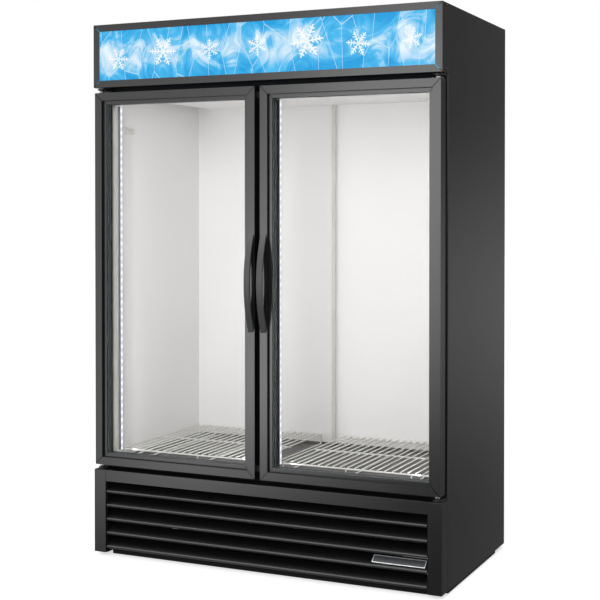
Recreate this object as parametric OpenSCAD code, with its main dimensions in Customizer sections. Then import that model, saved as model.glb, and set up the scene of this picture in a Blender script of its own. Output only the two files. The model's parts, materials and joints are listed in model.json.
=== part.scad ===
/* [Cabinet] */
// Width over the side panels
cab_w = 1375; // [1200:5:1800]
// Height from the floor to the top of the header
cab_h = 1997; // [1850:1:2150]
// Depth from the face of the doors to the back panel
cab_d = 759; // [680:1:900]
// Depth from the face of the doors to the cabinet face that they seal against
face_d = 64; // [60:0.5:80]
// Thickness of the insulated walls
wall_t = 60; // [50:1:75]
// Thickness of the painted steel sheet
sheet_t = 1; // [0.8:0.1:1.6]
// Radius of the bend between the cabinet face and a side panel
corner_r = 6; // [4:0.5:9]
// Height of the underside of the side panels and corner posts above the floor
skirt_z = 14; // [10:1:25]
// Height of the top of the louvred base above the floor
base_h = 326; // [300:1:380]

/* [Doors] */
// Gap between the base and the doors
gap_below = 19; // [15:0.5:28]
// Gap between the doors and the header
gap_above = 19.5; // [16:0.5:28]
// Gap between the two doors
gap_between = 21; // [16:0.5:30]
// Step from the side of the cabinet to the edge of a door
door_step = 5.5; // [3:0.5:10]
// Thickness of a door without its gasket
door_t = 50; // [44:0.5:54]
// Width of the front face of the door frame
stile_w = 29; // [26:0.5:36]
// Wall of the door frame's hollow section
stile_wall = 2; // [1.5:0.1:3]
// Depth of the glazing bead behind the face of the frame
bead_drop = 11; // [6:0.5:13]
// Width of the glazing bead
bead_w = 13; // [10:0.5:18]
// Shadow groove between the frame and the bead
bead_groove = 2; // [1:0.5:4]
// Thickness of one pane
pane_t = 4; // [3:0.5:5]
// Distance from the edge of a door to its hinge axis
pivot_in = 17; // [14:0.5:20]
// Distance from the face of a door to its hinge axis
pivot_back = 22; // [18:0.5:26]
// Radius of a hinge pin
pin_r = 5; // [4:0.5:6]

/* [Handles] */
// Length of a handle
handle_h = 354; // [300:2:450]
// Width of a handle
handle_w = 23; // [18:0.5:26]
// How far the bow stands out from the door
handle_bow = 36; // [30:0.5:50]
// Thickness of the grip at the middle of the bow
handle_t = 8; // [6:0.5:10]
// Length of the pad at each end of the bow
handle_pad = 27; // [20:1:40]
// Height of the middle of the handle above the floor
handle_z = 1044; // [900:1:1200]

/* [Header] */
// Height of the lit header
header_h = 235; // [200:1:300]
// Width of the header frame round the sign
header_rim = 26; // [18:1:36]
// Thickness of the sign panel
sign_t = 3; // [2:0.5:5]
// Depth of the return behind the header frame's face
header_lip = 18; // [12:1:24]

/* [Base] */
// Width of the corner posts
post_w = 50; // [40:1:70]
// Height of the plain band above the louvres
band_h = 43; // [30:1:60]
// Number of louvres
louvre_n = 5; // [4:1:6]
// Height of the lowest louvre's nose above the floor
louvre_z = 36; // [30:1:45]
// Height from one louvre to the next
louvre_pitch = 51.9; // [46:0.1:55]
// Radius of a louvre's nose
nose_r = 6; // [4:0.5:8]
// Height of the steel rails under the cabinet
rail_h = 38; // [36:1:50]
// Height of the rails above the floor with the feet screwed in
rail_z = 5; // [4:0.5:10]
// Radius of a levelling foot's stud
stud_r = 6; // [5:0.5:8]
// Length of a levelling foot's thread
stud_h = 30; // [24:1:34]

/* [Inside] */
// Height of the storage floor above the top of the base
floor_rise = 26; // [14:1:60]
// Height of a floor rack
rack_h = 45; // [30:1:70]
// Radius of the rack wire
wire_r = 3; // [2:0.5:4]
// Distance from one rack wire to the next
wire_pitch = 28; // [20:1:45]
// Distance from one rack runner to the next
runner_pitch = 245; // [180:5:280]
// Half width of the mullion between the doors
mullion_half = 45; // [40:1:55]
// Height of the evaporator housing under the ceiling
evap_h = 210; // [180:1:240]
// Depth of the evaporator housing
evap_d = 420; // [360:5:480]
// Radius of an evaporator fan
evap_fan_r = 75; // [60:1:85]

/* [Condensing unit] */
// Width of the shroud above and below the condenser fan's hole
shroud_rim = 5; // [4:1:30]
// Radius of the compressor shell
comp_r = 80; // [70:1:95]
// Room over the compressor for its pipes
comp_room = 32; // [30:1:60]
// Radius of the copper lines
pipe_r = 4; // [3:0.5:6]

/* [Hidden] */
$fn = 48;

// Colours
black_paint = "#2b2b2c";
dark_steel = "#1b1b1c";
black_plastic = "#19191a";
white_paint = "#e6e6e0";
zinc = "#b9bcbf";
stainless = "#8f9294";

// Gap between pieces that move on each other, and a tighter one inside a fit
clear = 0.3;
fit = 0.05;
// Hairline between two pieces that are only butted together
seam = 0.1;
// Overlap that keeps a cut clean
eps = 1;

// The origin is the middle of the whole box, handles included, at the floor.
// Depths below are counted back from the face of the doors.
front_y = -(cab_d + handle_bow) / 2 + handle_bow;
half_w = cab_w / 2;
header_z = cab_h - header_h;
door_z0 = base_h + gap_below;
door_z1 = header_z - gap_above;
door_h = door_z1 - door_z0;
door_w = half_w - door_step - gap_between / 2;
door_x0 = gap_between / 2;

// Insulated box
in_x = half_w - wall_t;
back_d = cab_d - wall_t;
ceiling_z = cab_h - wall_t;
floor_z = base_h + floor_rise;
box_z = floor_z - wall_t;
// The door opening in the cabinet face, and the strip that trims it
breaker_w = 21;
mullion_d = 30;
throat_d = face_d + wall_t;
sill_d = face_d + 24;
cove_r = 8;

// Door section: frame, bead, glass and gasket, counted from the door's edge
sight_in = stile_w + bead_groove + bead_w;
stop_t = 3;
pack_d0 = bead_drop + 2;
pack_d1 = door_t - stop_t;
pane_gap = (pack_d1 - pack_d0 - 3 * pane_t) / 2;
pane_in = stile_w + bead_groove;
gasket_in = pivot_in + 1;
gasket_w = 14;
gasket_t = face_d - door_t - clear;
pivot_x = half_w - door_step - pivot_in;
mitre_gap = 0.15;
open_in = gasket_in + gasket_w + 4;
open_top = door_z1 - open_in;
sill_z = door_z0 + open_in;

// Hinges
bracket_t = 5;
bracket_half = 18;
bush_r = 9;
bush_h = 34;
bush_flange_r = 11;
bush_flange_t = 1.5;
shoulder_r = 8;
low_plate_z = base_h + 1;
high_plate_z = header_z - 3 - bracket_t;
rod_r = 3;
rod_h = 300;

// Base
band_z = base_h - band_h;
grille_x = half_w - post_w;
strip_t = 1.5;
// The side strips stop where the bend of the side panel would meet them
strip_gap = strip_t + clear;
strip_d = face_d + corner_r - sqrt(2 * strip_gap * corner_r - pow(strip_gap, 2));
// Covers in front of the cabinet face leave room for the hinge plates
cover_d = face_d - 6;
rail_w = 40;
side_rail_w = 70;
rail_wall = 3;
rail_d0 = 32;
rail_d1 = cab_d - 79;
rail_x = half_w - sheet_t - side_rail_w + 10;
rail_top = rail_z + rail_h;
foot_r = 20;
foot_t = rail_z - clear;
foot_x = half_w - sheet_t - side_rail_w / 2;
foot_d0 = rail_d0 + rail_w + side_rail_w / 2;
foot_d1 = rail_d1 - rail_w - side_rail_w / 2;
nut_r = 11;
nut_h = 9;

module at_front() {
    translate([0, front_y, 0])
        children();
}

// A box from its lowest to its highest corner
module block(low, high) {
    translate(low)
        cube(high - low);
}

module both_sides() {
    children();
    mirror([1, 0, 0])
        children();
}

// A section drawn in depth and width, run up from z0 to z1
module upright(z0, z1) {
    translate([0, 0, z0])
        linear_extrude(z1 - z0)
            children();
}

// A section drawn as [depth, height], run along X from x0 to x1
module run_x(x0, x1) {
    translate([x0, 0, 0])
        rotate([90, 0, 90])
            linear_extrude(x1 - x0)
                children();
}

// A round bar between two heights, or along a depth
module post(x, d, z0, z1, r) {
    translate([x, d, z0])
        cylinder(h = z1 - z0, r = r);
}

module bar_y(x, d0, d1, z, r) {
    translate([x, d0, z])
        rotate([-90, 0, 0])
            cylinder(h = d1 - d0, r = r);
}

module bar_x(x0, x1, d, z, r) {
    translate([x0, d, z])
        rotate([0, 90, 0])
            cylinder(h = x1 - x0, r = r);
}

// ---- Insulated cabinet ----

// Sheet with a rounded front bend: flange across the face, then back along the side
module side_sheet_section() {
    flange_x = in_x + breaker_w;
    difference() {
        union() {
            translate([half_w - sheet_t, face_d + corner_r])
                square([sheet_t, cab_d - face_d - corner_r]);
            translate([flange_x, face_d])
                square([half_w - corner_r - flange_x, sheet_t]);
            intersection() {
                translate([half_w - corner_r, face_d + corner_r])
                    circle(corner_r);
                translate([half_w - corner_r, face_d])
                    square(corner_r);
            }
        }
        translate([half_w - corner_r, face_d + corner_r])
            circle(corner_r - sheet_t);
    }
}

module side_panel() {
    color(black_paint)
        upright(skirt_z, cab_h)
            side_sheet_section();
}

module side_panel_right() {
    at_front()
        side_panel();
}

module side_panel_left() {
    at_front()
        mirror([1, 0, 0])
            side_panel();
}

// Top, back and underside of the foamed box
module box_panels() {
    x = half_w - sheet_t;
    nose_x = half_w - corner_r;
    d0 = face_d + corner_r;
    d1 = cab_d - sheet_t;
    color(dark_steel)
        at_front() {
            block([-x, d0, cab_h - sheet_t], [x, cab_d, cab_h]);
            block([-nose_x, face_d + sheet_t, cab_h - sheet_t], [nose_x, d0, cab_h]);
            block([-x, d1, box_z], [x, cab_d, cab_h - sheet_t - seam]);
            block([-x, d0, box_z], [x, d1 - seam, box_z + sheet_t]);
        }
}

// Cabinet face above and below the door openings
module face_panels() {
    x = in_x + breaker_w;
    color(black_paint)
        at_front() {
            block([-x, face_d, open_top + breaker_w], [x, face_d + sheet_t, cab_h]);
            block([-x, face_d, box_z], [x, face_d + sheet_t, sill_z - breaker_w]);
        }
}

module foam_insulation() {
    skin = sheet_t + 0.2;
    x = half_w - skin;
    d0 = face_d + corner_r;
    d1 = cab_d - skin;
    z0 = box_z + skin;
    z1 = cab_h - skin;
    inner_x = in_x + skin;
    color("#d9c98f")
        at_front() {
            both_sides()
                block([inner_x, d0, z0], [x, d1, z1]);
            block([-inner_x, back_d + skin, z0], [inner_x, d1, z1]);
            block([-inner_x, d0, z0], [inner_x, back_d + skin, floor_z - skin]);
            block([-inner_x, d0, ceiling_z + skin], [inner_x, back_d + skin, z1]);
            block([clear - in_x, d0, open_top + skin], [in_x - clear, throat_d - skin, ceiling_z + skin]);
        }
}

// Liner: sides, back, ceiling and the inner face of the header beam
module liner_walls() {
    x0 = in_x - seam;
    x1 = in_x + sheet_t;
    d0 = face_d + corner_r;
    beam_d = throat_d - sheet_t;
    color(white_paint)
        at_front() {
            both_sides()
                block([in_x, d0, floor_z], [x1, back_d + sheet_t, ceiling_z + sheet_t]);
            block([-x0, back_d, floor_z], [x0, back_d + sheet_t, ceiling_z + sheet_t]);
            block([-x0, throat_d + seam, ceiling_z], [x0, back_d - seam, ceiling_z + sheet_t]);
            block([-x0, beam_d, open_top], [x0, throat_d, ceiling_z + sheet_t]);
            block([-x0, d0, open_top], [x0, beam_d - seam, open_top + sheet_t]);
        }
}

// Quarter-round cove, drawn with its corner at the origin
module cove_section(r) {
    difference() {
        square(r);
        translate([r, r])
            circle(r);
    }
}

// Stainless floor with coved edges and a raised front sill
module floor_pan() {
    x = in_x - seam;
    d0 = face_d + corner_r;
    d1 = back_d - seam;
    riser_d = sill_d - sheet_t;
    top = floor_z + sheet_t;
    color(stainless)
        at_front() {
            block([-x, riser_d, floor_z], [x, d1, top]);
            block([-x, riser_d, top + seam], [x, sill_d, sill_z]);
            block([-x, d0, sill_z - sheet_t], [x, riser_d - seam, sill_z]);
            run_x(-x, x)
                translate([d1, top + seam])
                    mirror([1, 0])
                        cove_section(cove_r);
            both_sides()
                translate([-x, d1 - cove_r - seam, top + seam])
                    rotate([90, 0, 0])
                        linear_extrude(d1 - cove_r - sill_d - 2 * seam)
                            cove_section(cove_r);
        }
}

// Plastic strips that trim the door openings
module breaker_strips() {
    x0 = in_x;
    x1 = in_x + breaker_w;
    d1 = face_d + corner_r;
    color("#cfcfc4")
        at_front() {
            both_sides()
                upright(sill_z + seam, open_top - seam) {
                    translate([x0, face_d])
                        square([breaker_w, 2]);
                    translate([x0, face_d])
                        square([2, d1 - face_d]);
                }
            run_x(-x1, x1) {
                translate([face_d, open_top])
                    square([2, breaker_w]);
                translate([face_d, open_top])
                    square([d1 - face_d, 2]);
            }
            run_x(-x1, x1) {
                translate([face_d, sill_z - breaker_w])
                    square([2, breaker_w]);
                translate([face_d, sill_z - 2])
                    square([d1 - face_d, 2]);
            }
        }
}

// Hollow column that both doors close against
module centre_mullion() {
    wall = 2;
    color(black_plastic)
        at_front()
            upright(sill_z, open_top)
                difference() {
                    translate([-mullion_half, face_d])
                        square([2 * mullion_half, mullion_d]);
                    translate([wall - mullion_half, face_d + wall])
                        square([2 * (mullion_half - wall), mullion_d - 2 * wall]);
                }
}

// ---- Lights in the doorway ----

led_t = 10;
led_w = 18;
led_d0 = face_d + corner_r + 3;

// Channel section against a wall at x = 0, open towards +X
module led_channel_section() {
    difference() {
        square([led_t, led_w]);
        translate([3, 2])
            square([led_t, led_w - 4]);
    }
}

module led_lens_section() {
    translate([led_t - 3, 2 + clear / 3])
        square([3, led_w - 4 - 2 * clear / 3]);
}

module led_strips() {
    z0 = sill_z + 10;
    z1 = open_top - 10;
    both_sides() {
        translate([-in_x, led_d0, z0])
            linear_extrude(z1 - z0)
                children();
        translate([mullion_half, face_d + (mullion_d - led_w) / 2, z0])
            linear_extrude(z1 - z0)
                children();
    }
}

module led_channels() {
    color("silver")
        at_front()
            led_strips()
                led_channel_section();
}

module led_lenses() {
    color("white")
        at_front()
            led_strips()
                led_lens_section();
}

// ---- Floor racks ----

rack_x0 = mullion_half + 9;
rack_x1 = in_x - cove_r - wire_r - 1;
rack_d0 = face_d + mullion_d + 4;
rack_d1 = back_d - cove_r - 5;
rack_z0 = floor_z + sheet_t + clear;
rack_z1 = rack_z0 + rack_h;
rack_w = rack_x1 - rack_x0;
runner_n = floor((rack_w - 40) / runner_pitch) + 1;
runner_x = concat([for (i = [0 : runner_n - 1]) i * runner_pitch], [rack_w]);

// Top grid of crossed wires, then the bent runners that it stands on
module floor_rack() {
    wire_n = floor(rack_w / wire_pitch);
    step = rack_w / wire_n;
    grid_z = rack_z1 - wire_r;
    low_z = grid_z - 1.7 * wire_r;
    color(white_paint)
        at_front()
            translate([rack_x0, 0, 0]) {
                for (i = [0 : wire_n])
                    bar_y(i * step, rack_d0, rack_d1, grid_z, wire_r * 0.8);
                for (d = [rack_d0 + wire_r, (rack_d0 + rack_d1) / 2, rack_d1 - wire_r])
                    bar_x(-wire_r, rack_w + wire_r, d, low_z, wire_r);
                for (x = runner_x)
                    runner(x, low_z);
            }
}

module runner(x, top) {
    low = rack_z0 + wire_r;
    for (d = [rack_d0 + wire_r, rack_d1 - wire_r])
        post(x, d, low, top - wire_r - seam, 0.85 * wire_r);
    bar_y(x, rack_d0, rack_d1, low, wire_r);
}

module floor_rack_right() {
    floor_rack();
}

module floor_rack_left() {
    mirror([1, 0, 0])
        floor_rack();
}

// ---- Mitred frames ----

// One side of a mitred frame: a section drawn as [depth, distance in from the edge],
// run along X and cut at 45 degrees at both ends
module mitred_bar(length, reach) {
    g = mitre_gap;
    intersection() {
        run_x(0, length)
            children();
        rotate([90, 0, 0])
            translate([0, 0, -cab_d])
                linear_extrude(2 * cab_d)
                    polygon([[g, 0], [length - g, 0], [length - g - reach, reach], [g + reach, reach]]);
    }
}

// Four mitred bars round a rectangle w wide and h high
module mitred_ring(w, h, reach) {
    mitred_bar(w, reach)
        children();
    translate([0, 0, h])
        mirror([0, 0, 1])
            mitred_bar(w, reach)
                children();
    mirror([1, 0, 0])
        rotate([0, -90, 0])
            mitred_bar(h, reach)
                children();
    translate([w, 0, 0])
        rotate([0, -90, 0])
            mitred_bar(h, reach)
                children();
}

// ---- Doors, drawn as the right-hand one; the left is its mirror image ----

module at_door() {
    at_front()
        translate([door_x0, 0, door_z0])
            children();
}

// Hollow stile with the fin behind that the glass rests against
module stile_section() {
    difference() {
        union() {
            square([door_t, stile_w]);
            translate([pack_d1, 0])
                square([stop_t, sight_in]);
        }
        translate([stile_wall, stile_wall])
            square([door_t - 2 * stile_wall, stile_w - 2 * stile_wall]);
    }
}

module hinge_bores(r) {
    for (z = [-eps, door_h - stile_w / 2])
        post(door_w - pivot_in, pivot_back, z, z + stile_w / 2 + eps, r);
}

module door_frame() {
    r = bush_r + fit;
    color(black_paint)
        at_door() {
            difference() {
                mitred_bar(door_w, sight_in)
                    stile_section();
                hinge_bores(r);
            }
            difference() {
                translate([0, 0, door_h])
                    mirror([0, 0, 1])
                        mitred_bar(door_w, sight_in)
                            stile_section();
                hinge_bores(r);
            }
            mirror([1, 0, 0])
                rotate([0, -90, 0])
                    mitred_bar(door_h, sight_in)
                        stile_section();
            difference() {
                translate([door_w, 0, 0])
                    rotate([0, -90, 0])
                        mitred_bar(door_h, sight_in)
                            stile_section();
                hinge_bores(r);
            }
        }
}

// Snap-in bead: a flat face with a hook against the stile
module bead_section() {
    hook = 9;
    translate([bead_drop, pane_in])
        square([pack_d0 - bead_drop, bead_w]);
    translate([bead_drop + 0.5, stile_w])
        square([hook, bead_groove]);
}

module glazing_bead() {
    color(black_paint)
        at_door()
            mitred_ring(door_w, door_h, sight_in)
                bead_section();
}

module pane_box(d0, d1, inset) {
    block([inset, d0, inset], [door_w - inset, d1, door_h - inset]);
}

pane_edge = pane_in + clear;

module glass() {
    color([0.75, 0.86, 0.88, 0.3])
        at_door()
            for (i = [0 : 2]) {
                d = pack_d0 + i * (pane_t + pane_gap);
                pane_box(d, d + pane_t, pane_edge);
            }
}

// Hollow bars that hold the panes apart
module spacer() {
    color("#2f3a3e")
        at_door()
            for (i = [0, 1]) {
                d = pack_d0 + pane_t + i * (pane_t + pane_gap);
                difference() {
                    pane_box(d + seam, d + pane_gap - seam, pane_edge);
                    pane_box(d - eps, d + pane_gap + eps, sight_in);
                }
            }
}

// Magnetic gasket: a foot in the frame, a folding neck and a flat magnet strip
module gasket_section() {
    g = gasket_t;
    foot = gasket_w - 4;
    neck = gasket_w - 7;
    translate([door_t, gasket_in])
        polygon([
            [0, 2], [0, 2 + foot], [0.25 * g, 2 + foot], [0.4 * g, 2 + neck],
            [0.6 * g, gasket_w], [g, gasket_w], [g, 0], [0.6 * g, 0],
            [0.4 * g, 5], [0.25 * g, 2]
        ]);
}

module gasket() {
    color("#202022")
        at_door()
            mitred_ring(door_w, door_h, gasket_in + gasket_w)
                gasket_section();
}

// Bow handle: the space between two arcs, with a flat pad at each end
module bow_section() {
    half = handle_h / 2;
    inner_half = half - handle_pad;
    inner_bow = handle_bow - handle_t;
    outer_r = (pow(half, 2) + pow(handle_bow, 2)) / (2 * handle_bow);
    inner_r = (pow(inner_half, 2) + pow(inner_bow, 2)) / (2 * inner_bow);
    difference() {
        intersection() {
            translate([outer_r - handle_bow, 0])
                circle(outer_r, $fn = 360);
            translate([-2 * handle_bow, -half])
                square([2 * handle_bow, handle_h]);
        }
        translate([inner_r - inner_bow, 0])
            circle(inner_r, $fn = 360);
    }
}

module handle() {
    x = door_x0 + (stile_w - handle_w) / 2;
    color(black_plastic)
        at_front()
            translate([0, 0, handle_z])
                run_x(x, x + handle_w)
                    bow_section();
}

// ---- Hinges ----

pin_reach = 28;

// Blind bush, drawn mouth down with its flange under z = 0
module hinge_bush() {
    rotate_extrude()
        polygon([
            [pin_r + fit, -bush_flange_t], [bush_flange_r, -bush_flange_t], [bush_flange_r, 0],
            [bush_r, 0], [bush_r, bush_h], [0, bush_h], [0, bush_h - 4], [pin_r + fit, bush_h - 4]
        ]);
}

// Bushes, and the torsion rod that closes the door with the anchor that holds its top
module hinge_hardware() {
    rod_z0 = door_z0 + bush_h;
    anchor_h = 30;
    hollow_x = half_w - door_step - stile_w + stile_wall;
    color(zinc)
        at_front() {
            translate([pivot_x, pivot_back, door_z0])
                hinge_bush();
            translate([pivot_x, pivot_back, door_z1])
                mirror([0, 0, 1])
                    hinge_bush();
            post(pivot_x, pivot_back, rod_z0, rod_z0 + rod_h, rod_r);
            block(
                [hollow_x, stile_wall, rod_z0 + rod_h],
                [hollow_x + stile_w - 2 * stile_wall, door_t - stile_wall, rod_z0 + rod_h + anchor_h]
            );
        }
}

// Plate, upstand and shouldered pin, drawn for a pin that points up from z = 0
module hinge_bracket(shoulder_h) {
    upstand_h = 30;
    front = pivot_back - 12;
    post(0, pivot_back, 0, shoulder_h, shoulder_r);
    post(0, pivot_back, 0, shoulder_h + bush_flange_t + clear + pin_reach, pin_r);
    block([-bracket_half, pivot_back, -bracket_t], [bracket_half, face_d, 0]);
    translate([0, 0, -bracket_t])
        linear_extrude(bracket_t)
            intersection() {
                translate([-bracket_half, front])
                    square([2 * bracket_half, pivot_back - front]);
                translate([0, front + bracket_half])
                    circle(bracket_half);
            }
    block([-bracket_half, face_d - bracket_t, -upstand_h], [bracket_half, face_d, -bracket_t]);
}

module hinge_brackets() {
    low = low_plate_z + bracket_t;
    seat = bush_flange_t + clear;
    color(zinc)
        at_front()
            both_sides() {
                translate([pivot_x, 0, low])
                    hinge_bracket(door_z0 - seat - low);
                translate([pivot_x, 0, high_plate_z])
                    mirror([0, 0, 1])
                        hinge_bracket(high_plate_z - door_z1 - seat);
            }
}

// ---- Header ----

// Flat face with an outer return, on the [depth, distance in] plane
module header_section() {
    square([2, header_rim]);
    translate([0, strip_t])
        square([header_lip, 2]);
}

module header_frame() {
    color(black_paint)
        at_front()
            translate([-half_w, 0, header_z])
                mitred_ring(cab_w, header_h, header_rim)
                    header_section();
}

// Top, bottom and side covers between the frame and the cabinet
module header_shell() {
    inner_x = half_w - strip_t - seam;
    color(black_paint)
        at_front() {
            block([-inner_x, 2, cab_h - strip_t], [inner_x, face_d, cab_h]);
            block([-inner_x, 2, header_z], [inner_x, cover_d, header_z + strip_t]);
            both_sides()
                block([half_w - strip_t, 2, header_z], [half_w, strip_d, cab_h]);
        }
}

module sign_panel() {
    inset = header_rim - 14;
    x = half_w - inset;
    color("#7fc8f2")
        at_front()
            block([-x, 2, header_z + inset], [x, 2 + sign_t, cab_h - inset]);
}

// Lamp behind the sign: a tray on the cabinet face with a round diffuser
module sign_lamp() {
    tray_d = 16;
    tray_h = 40;
    tube_r = 13;
    x = half_w - 70;
    z = header_z + header_h / 2;
    color("white")
        at_front() {
            block([-x, face_d - tray_d, z - tray_h / 2], [x, face_d, z + tray_h / 2]);
            bar_x(-x, x, face_d - tray_d - tube_r, z, tube_r);
        }
}

// ---- Louvred base ----

post_x = grille_x + 0.5;

module corner_posts() {
    t = strip_t;
    color(black_paint)
        at_front()
            both_sides() {
                upright(skirt_z, base_h - t - seam) {
                    translate([post_x, 0])
                        square([half_w - post_x, t]);
                    translate([half_w - t, 0])
                        square([t, strip_d]);
                    translate([post_x, 0])
                        square([t, 30]);
                }
                block([post_x, 0, base_h - t], [half_w, cover_d, base_h]);
            }
}

module kick_band() {
    t = strip_t;
    color(black_paint)
        at_front()
            run_x(-grille_x, grille_x) {
                translate([0, band_z])
                    square([t, band_h]);
                translate([0, base_h - t])
                    square([cover_d, t]);
                translate([0, band_z])
                    square([14, t]);
            }
}

// A round nose with a blade that climbs back from it
module louvre_section() {
    rise = 34;
    run = 40;
    circle(nose_r);
    polygon([
        [0, -nose_r], [run, rise - 2], [run, rise], [-nose_r * 0.7, nose_r * 0.7]
    ]);
}

module louvre_grille() {
    end_t = 3;
    x = grille_x - end_t;
    color(dark_steel)
        at_front() {
            for (i = [0 : louvre_n - 1])
                translate([0, nose_r + 1, louvre_z + i * louvre_pitch])
                    run_x(seam - x, x - seam)
                        louvre_section();
            both_sides()
                block([x, nose_r + 4, skirt_z], [grille_x, cover_d, band_z]);
        }
}

// C-shaped steel channel, [width, height], with its back at zero
module channel_section(w) {
    difference() {
        square([w, rail_h]);
        translate([rail_wall, rail_wall])
            square([w, rail_h - 2 * rail_wall]);
    }
}

// Rails under the cabinet, with a welded nut over each foot
module base_frame() {
    color(dark_steel)
        at_front() {
            run_x(-rail_x, rail_x)
                translate([rail_d0, rail_z])
                    channel_section(rail_w);
            run_x(-rail_x, rail_x)
                translate([rail_d1 - rail_w, rail_z])
                    channel_section(rail_w);
            both_sides()
                side_rail();
        }
}

module side_rail() {
    d0 = rail_d0 + rail_w + seam;
    d1 = rail_d1 - rail_w - seam;
    difference() {
        translate([half_w - sheet_t, d1, rail_z])
            rotate([90, 0, 0])
                linear_extrude(d1 - d0)
                    mirror([1, 0])
                        channel_section(side_rail_w);
        for (d = [foot_d0, foot_d1])
            post(foot_x, d, rail_z - eps, rail_z + rail_wall + eps, stud_r + clear);
    }
    for (d = [foot_d0, foot_d1])
        difference() {
            post(foot_x, d, rail_z + rail_wall, rail_z + rail_wall + nut_h, nut_r);
            post(foot_x, d, rail_z, rail_z + rail_wall + nut_h + eps, stud_r + fit);
        }
}

// Hexagonal foot on a threaded stud, screwed right in
module leveling_foot(x, d) {
    color(zinc)
        at_front()
            translate([x, d, 0]) {
                cylinder(h = foot_t, r = foot_r);
                translate([0, 0, foot_t])
                    cylinder(h = stud_h, r = stud_r);
            }
}

module leveling_foot_front_left() {
    leveling_foot(-foot_x, foot_d0);
}

module leveling_foot_front_right() {
    leveling_foot(foot_x, foot_d0);
}

module leveling_foot_rear_left() {
    leveling_foot(-foot_x, foot_d1);
}

module leveling_foot_rear_right() {
    leveling_foot(foot_x, foot_d1);
}

// Slotted cover over the back of the machine space
module rear_cover() {
    slot_n = 20;
    slot_w = 8;
    slot_h = 100;
    slot_pitch = 30;
    slot_z = box_z - 20 - slot_h;
    x = half_w - sheet_t;
    z0 = rail_z + 10;
    gland_r = 12;
    gland_x = -x * 0.7;
    gland_z = (z0 + box_z) / 2;
    inside_d = cab_d - sheet_t - seam;
    color(dark_steel)
        at_front() {
            difference() {
                block([-x, cab_d - sheet_t, z0], [x, cab_d, box_z]);
                for (i = [0 : slot_n - 1])
                    translate([(i - (slot_n - 1) / 2) * slot_pitch - slot_w / 2, 0, slot_z])
                        block([0, cab_d - sheet_t - eps, 0], [slot_w, cab_d + eps, slot_h]);
                bar_y(gland_x, cab_d - sheet_t - eps, cab_d + eps, gland_z, gland_r + seam);
            }
            difference() {
                union() {
                    bar_y(gland_x, inside_d - 3, cab_d, gland_z, gland_r);
                    bar_y(gland_x, inside_d - 3, inside_d, gland_z, gland_r + 5);
                }
                bar_y(gland_x, inside_d - 3 - eps, cab_d + eps, gland_z, gland_r - 4);
            }
        }
}

// ---- Fans ----

// Four pitched blades round a hub, spinning about Y
module fan_blades(r, depth) {
    hub_r = r * 0.28;
    blade_t = 2;
    pitch = 32;
    rotate([-90, 0, 0]) {
        cylinder(h = depth, r = hub_r);
        intersection() {
            for (i = [0 : 3])
                rotate([0, 0, 90 * i])
                    translate([hub_r * 0.7, 0, depth / 2])
                        rotate([pitch, 0, 0])
                            translate([0, -r * 0.36, -blade_t / 2])
                                cube([r, r * 0.72, blade_t]);
            cylinder(h = depth, r = r);
        }
    }
}

// ---- Evaporator under the ceiling ----

evap_x = in_x - 60;
evap_d1 = back_d;
evap_d0 = evap_d1 - evap_d;
evap_z0 = ceiling_z - evap_h;
evap_fan_x = evap_x * 0.42;
evap_fan_z = evap_z0 + evap_h / 2;
evap_fan_depth = 24;
evap_motor_r = 28;
evap_shaft_r = 3;
cover_t = 2;
evap_fan_d0 = evap_d0 + cover_t + 8;
coil_d0 = evap_d0 + evap_d * 0.36;
coil_d1 = evap_d1 - evap_d / 7;

// Housing: fan plate, sides and drip tray, with a ring round each fan hole
module evaporator_cover() {
    hole_r = evap_fan_r + 6;
    d0 = evap_d0;
    color(white_paint)
        at_front() {
            difference() {
                block([-evap_x, d0, evap_z0], [evap_x, d0 + cover_t, ceiling_z]);
                both_sides()
                    bar_y(evap_fan_x, d0 - eps, d0 + cover_t + eps, evap_fan_z, hole_r);
            }
            both_sides()
                block([evap_x - cover_t, d0 + cover_t + seam, evap_z0], [evap_x, evap_d1, ceiling_z]);
            block(
                [cover_t + seam - evap_x, d0 + cover_t + seam, evap_z0],
                [evap_x - cover_t - seam, evap_d1, evap_z0 + cover_t]
            );
        }
}

module evaporator_coil() {
    x = evap_x * 0.84;
    fin_t = 3;
    fin_n = 60;
    z0 = evap_z0 + 22;
    z1 = ceiling_z - 18;
    h = z1 - z0;
    bend_r = h * 0.08;
    step = (2 * x - fin_t) / (fin_n - 1);
    tube_z = [for (i = [0 : 2]) z0 + h * (0.18 + 0.32 * i)];
    color("silver")
        at_front() {
            block([-x, coil_d0 + 10, z0 + 10], [x, coil_d1 - 10, z1 - 10]);
            for (i = [0 : fin_n - 1])
                block([i * step - x, coil_d0, z0], [i * step - x + fin_t, coil_d1, z1]);
            both_sides()
                for (d = [coil_d0 + 35 : 50 : coil_d1 - 35], z = tube_z)
                    translate([x, d, z + bend_r])
                        rotate([90, 0, 0])
                            rotate([0, 0, -90])
                                rotate_extrude(angle = 180)
                                    translate([bend_r, 0])
                                        circle(5, $fn = 16);
            both_sides()
                for (d = [coil_d0 + 20, coil_d1 - 30])
                    block([x - 60, d, evap_z0 + cover_t], [x - 40, d + 10, z0]);
        }
}

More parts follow.
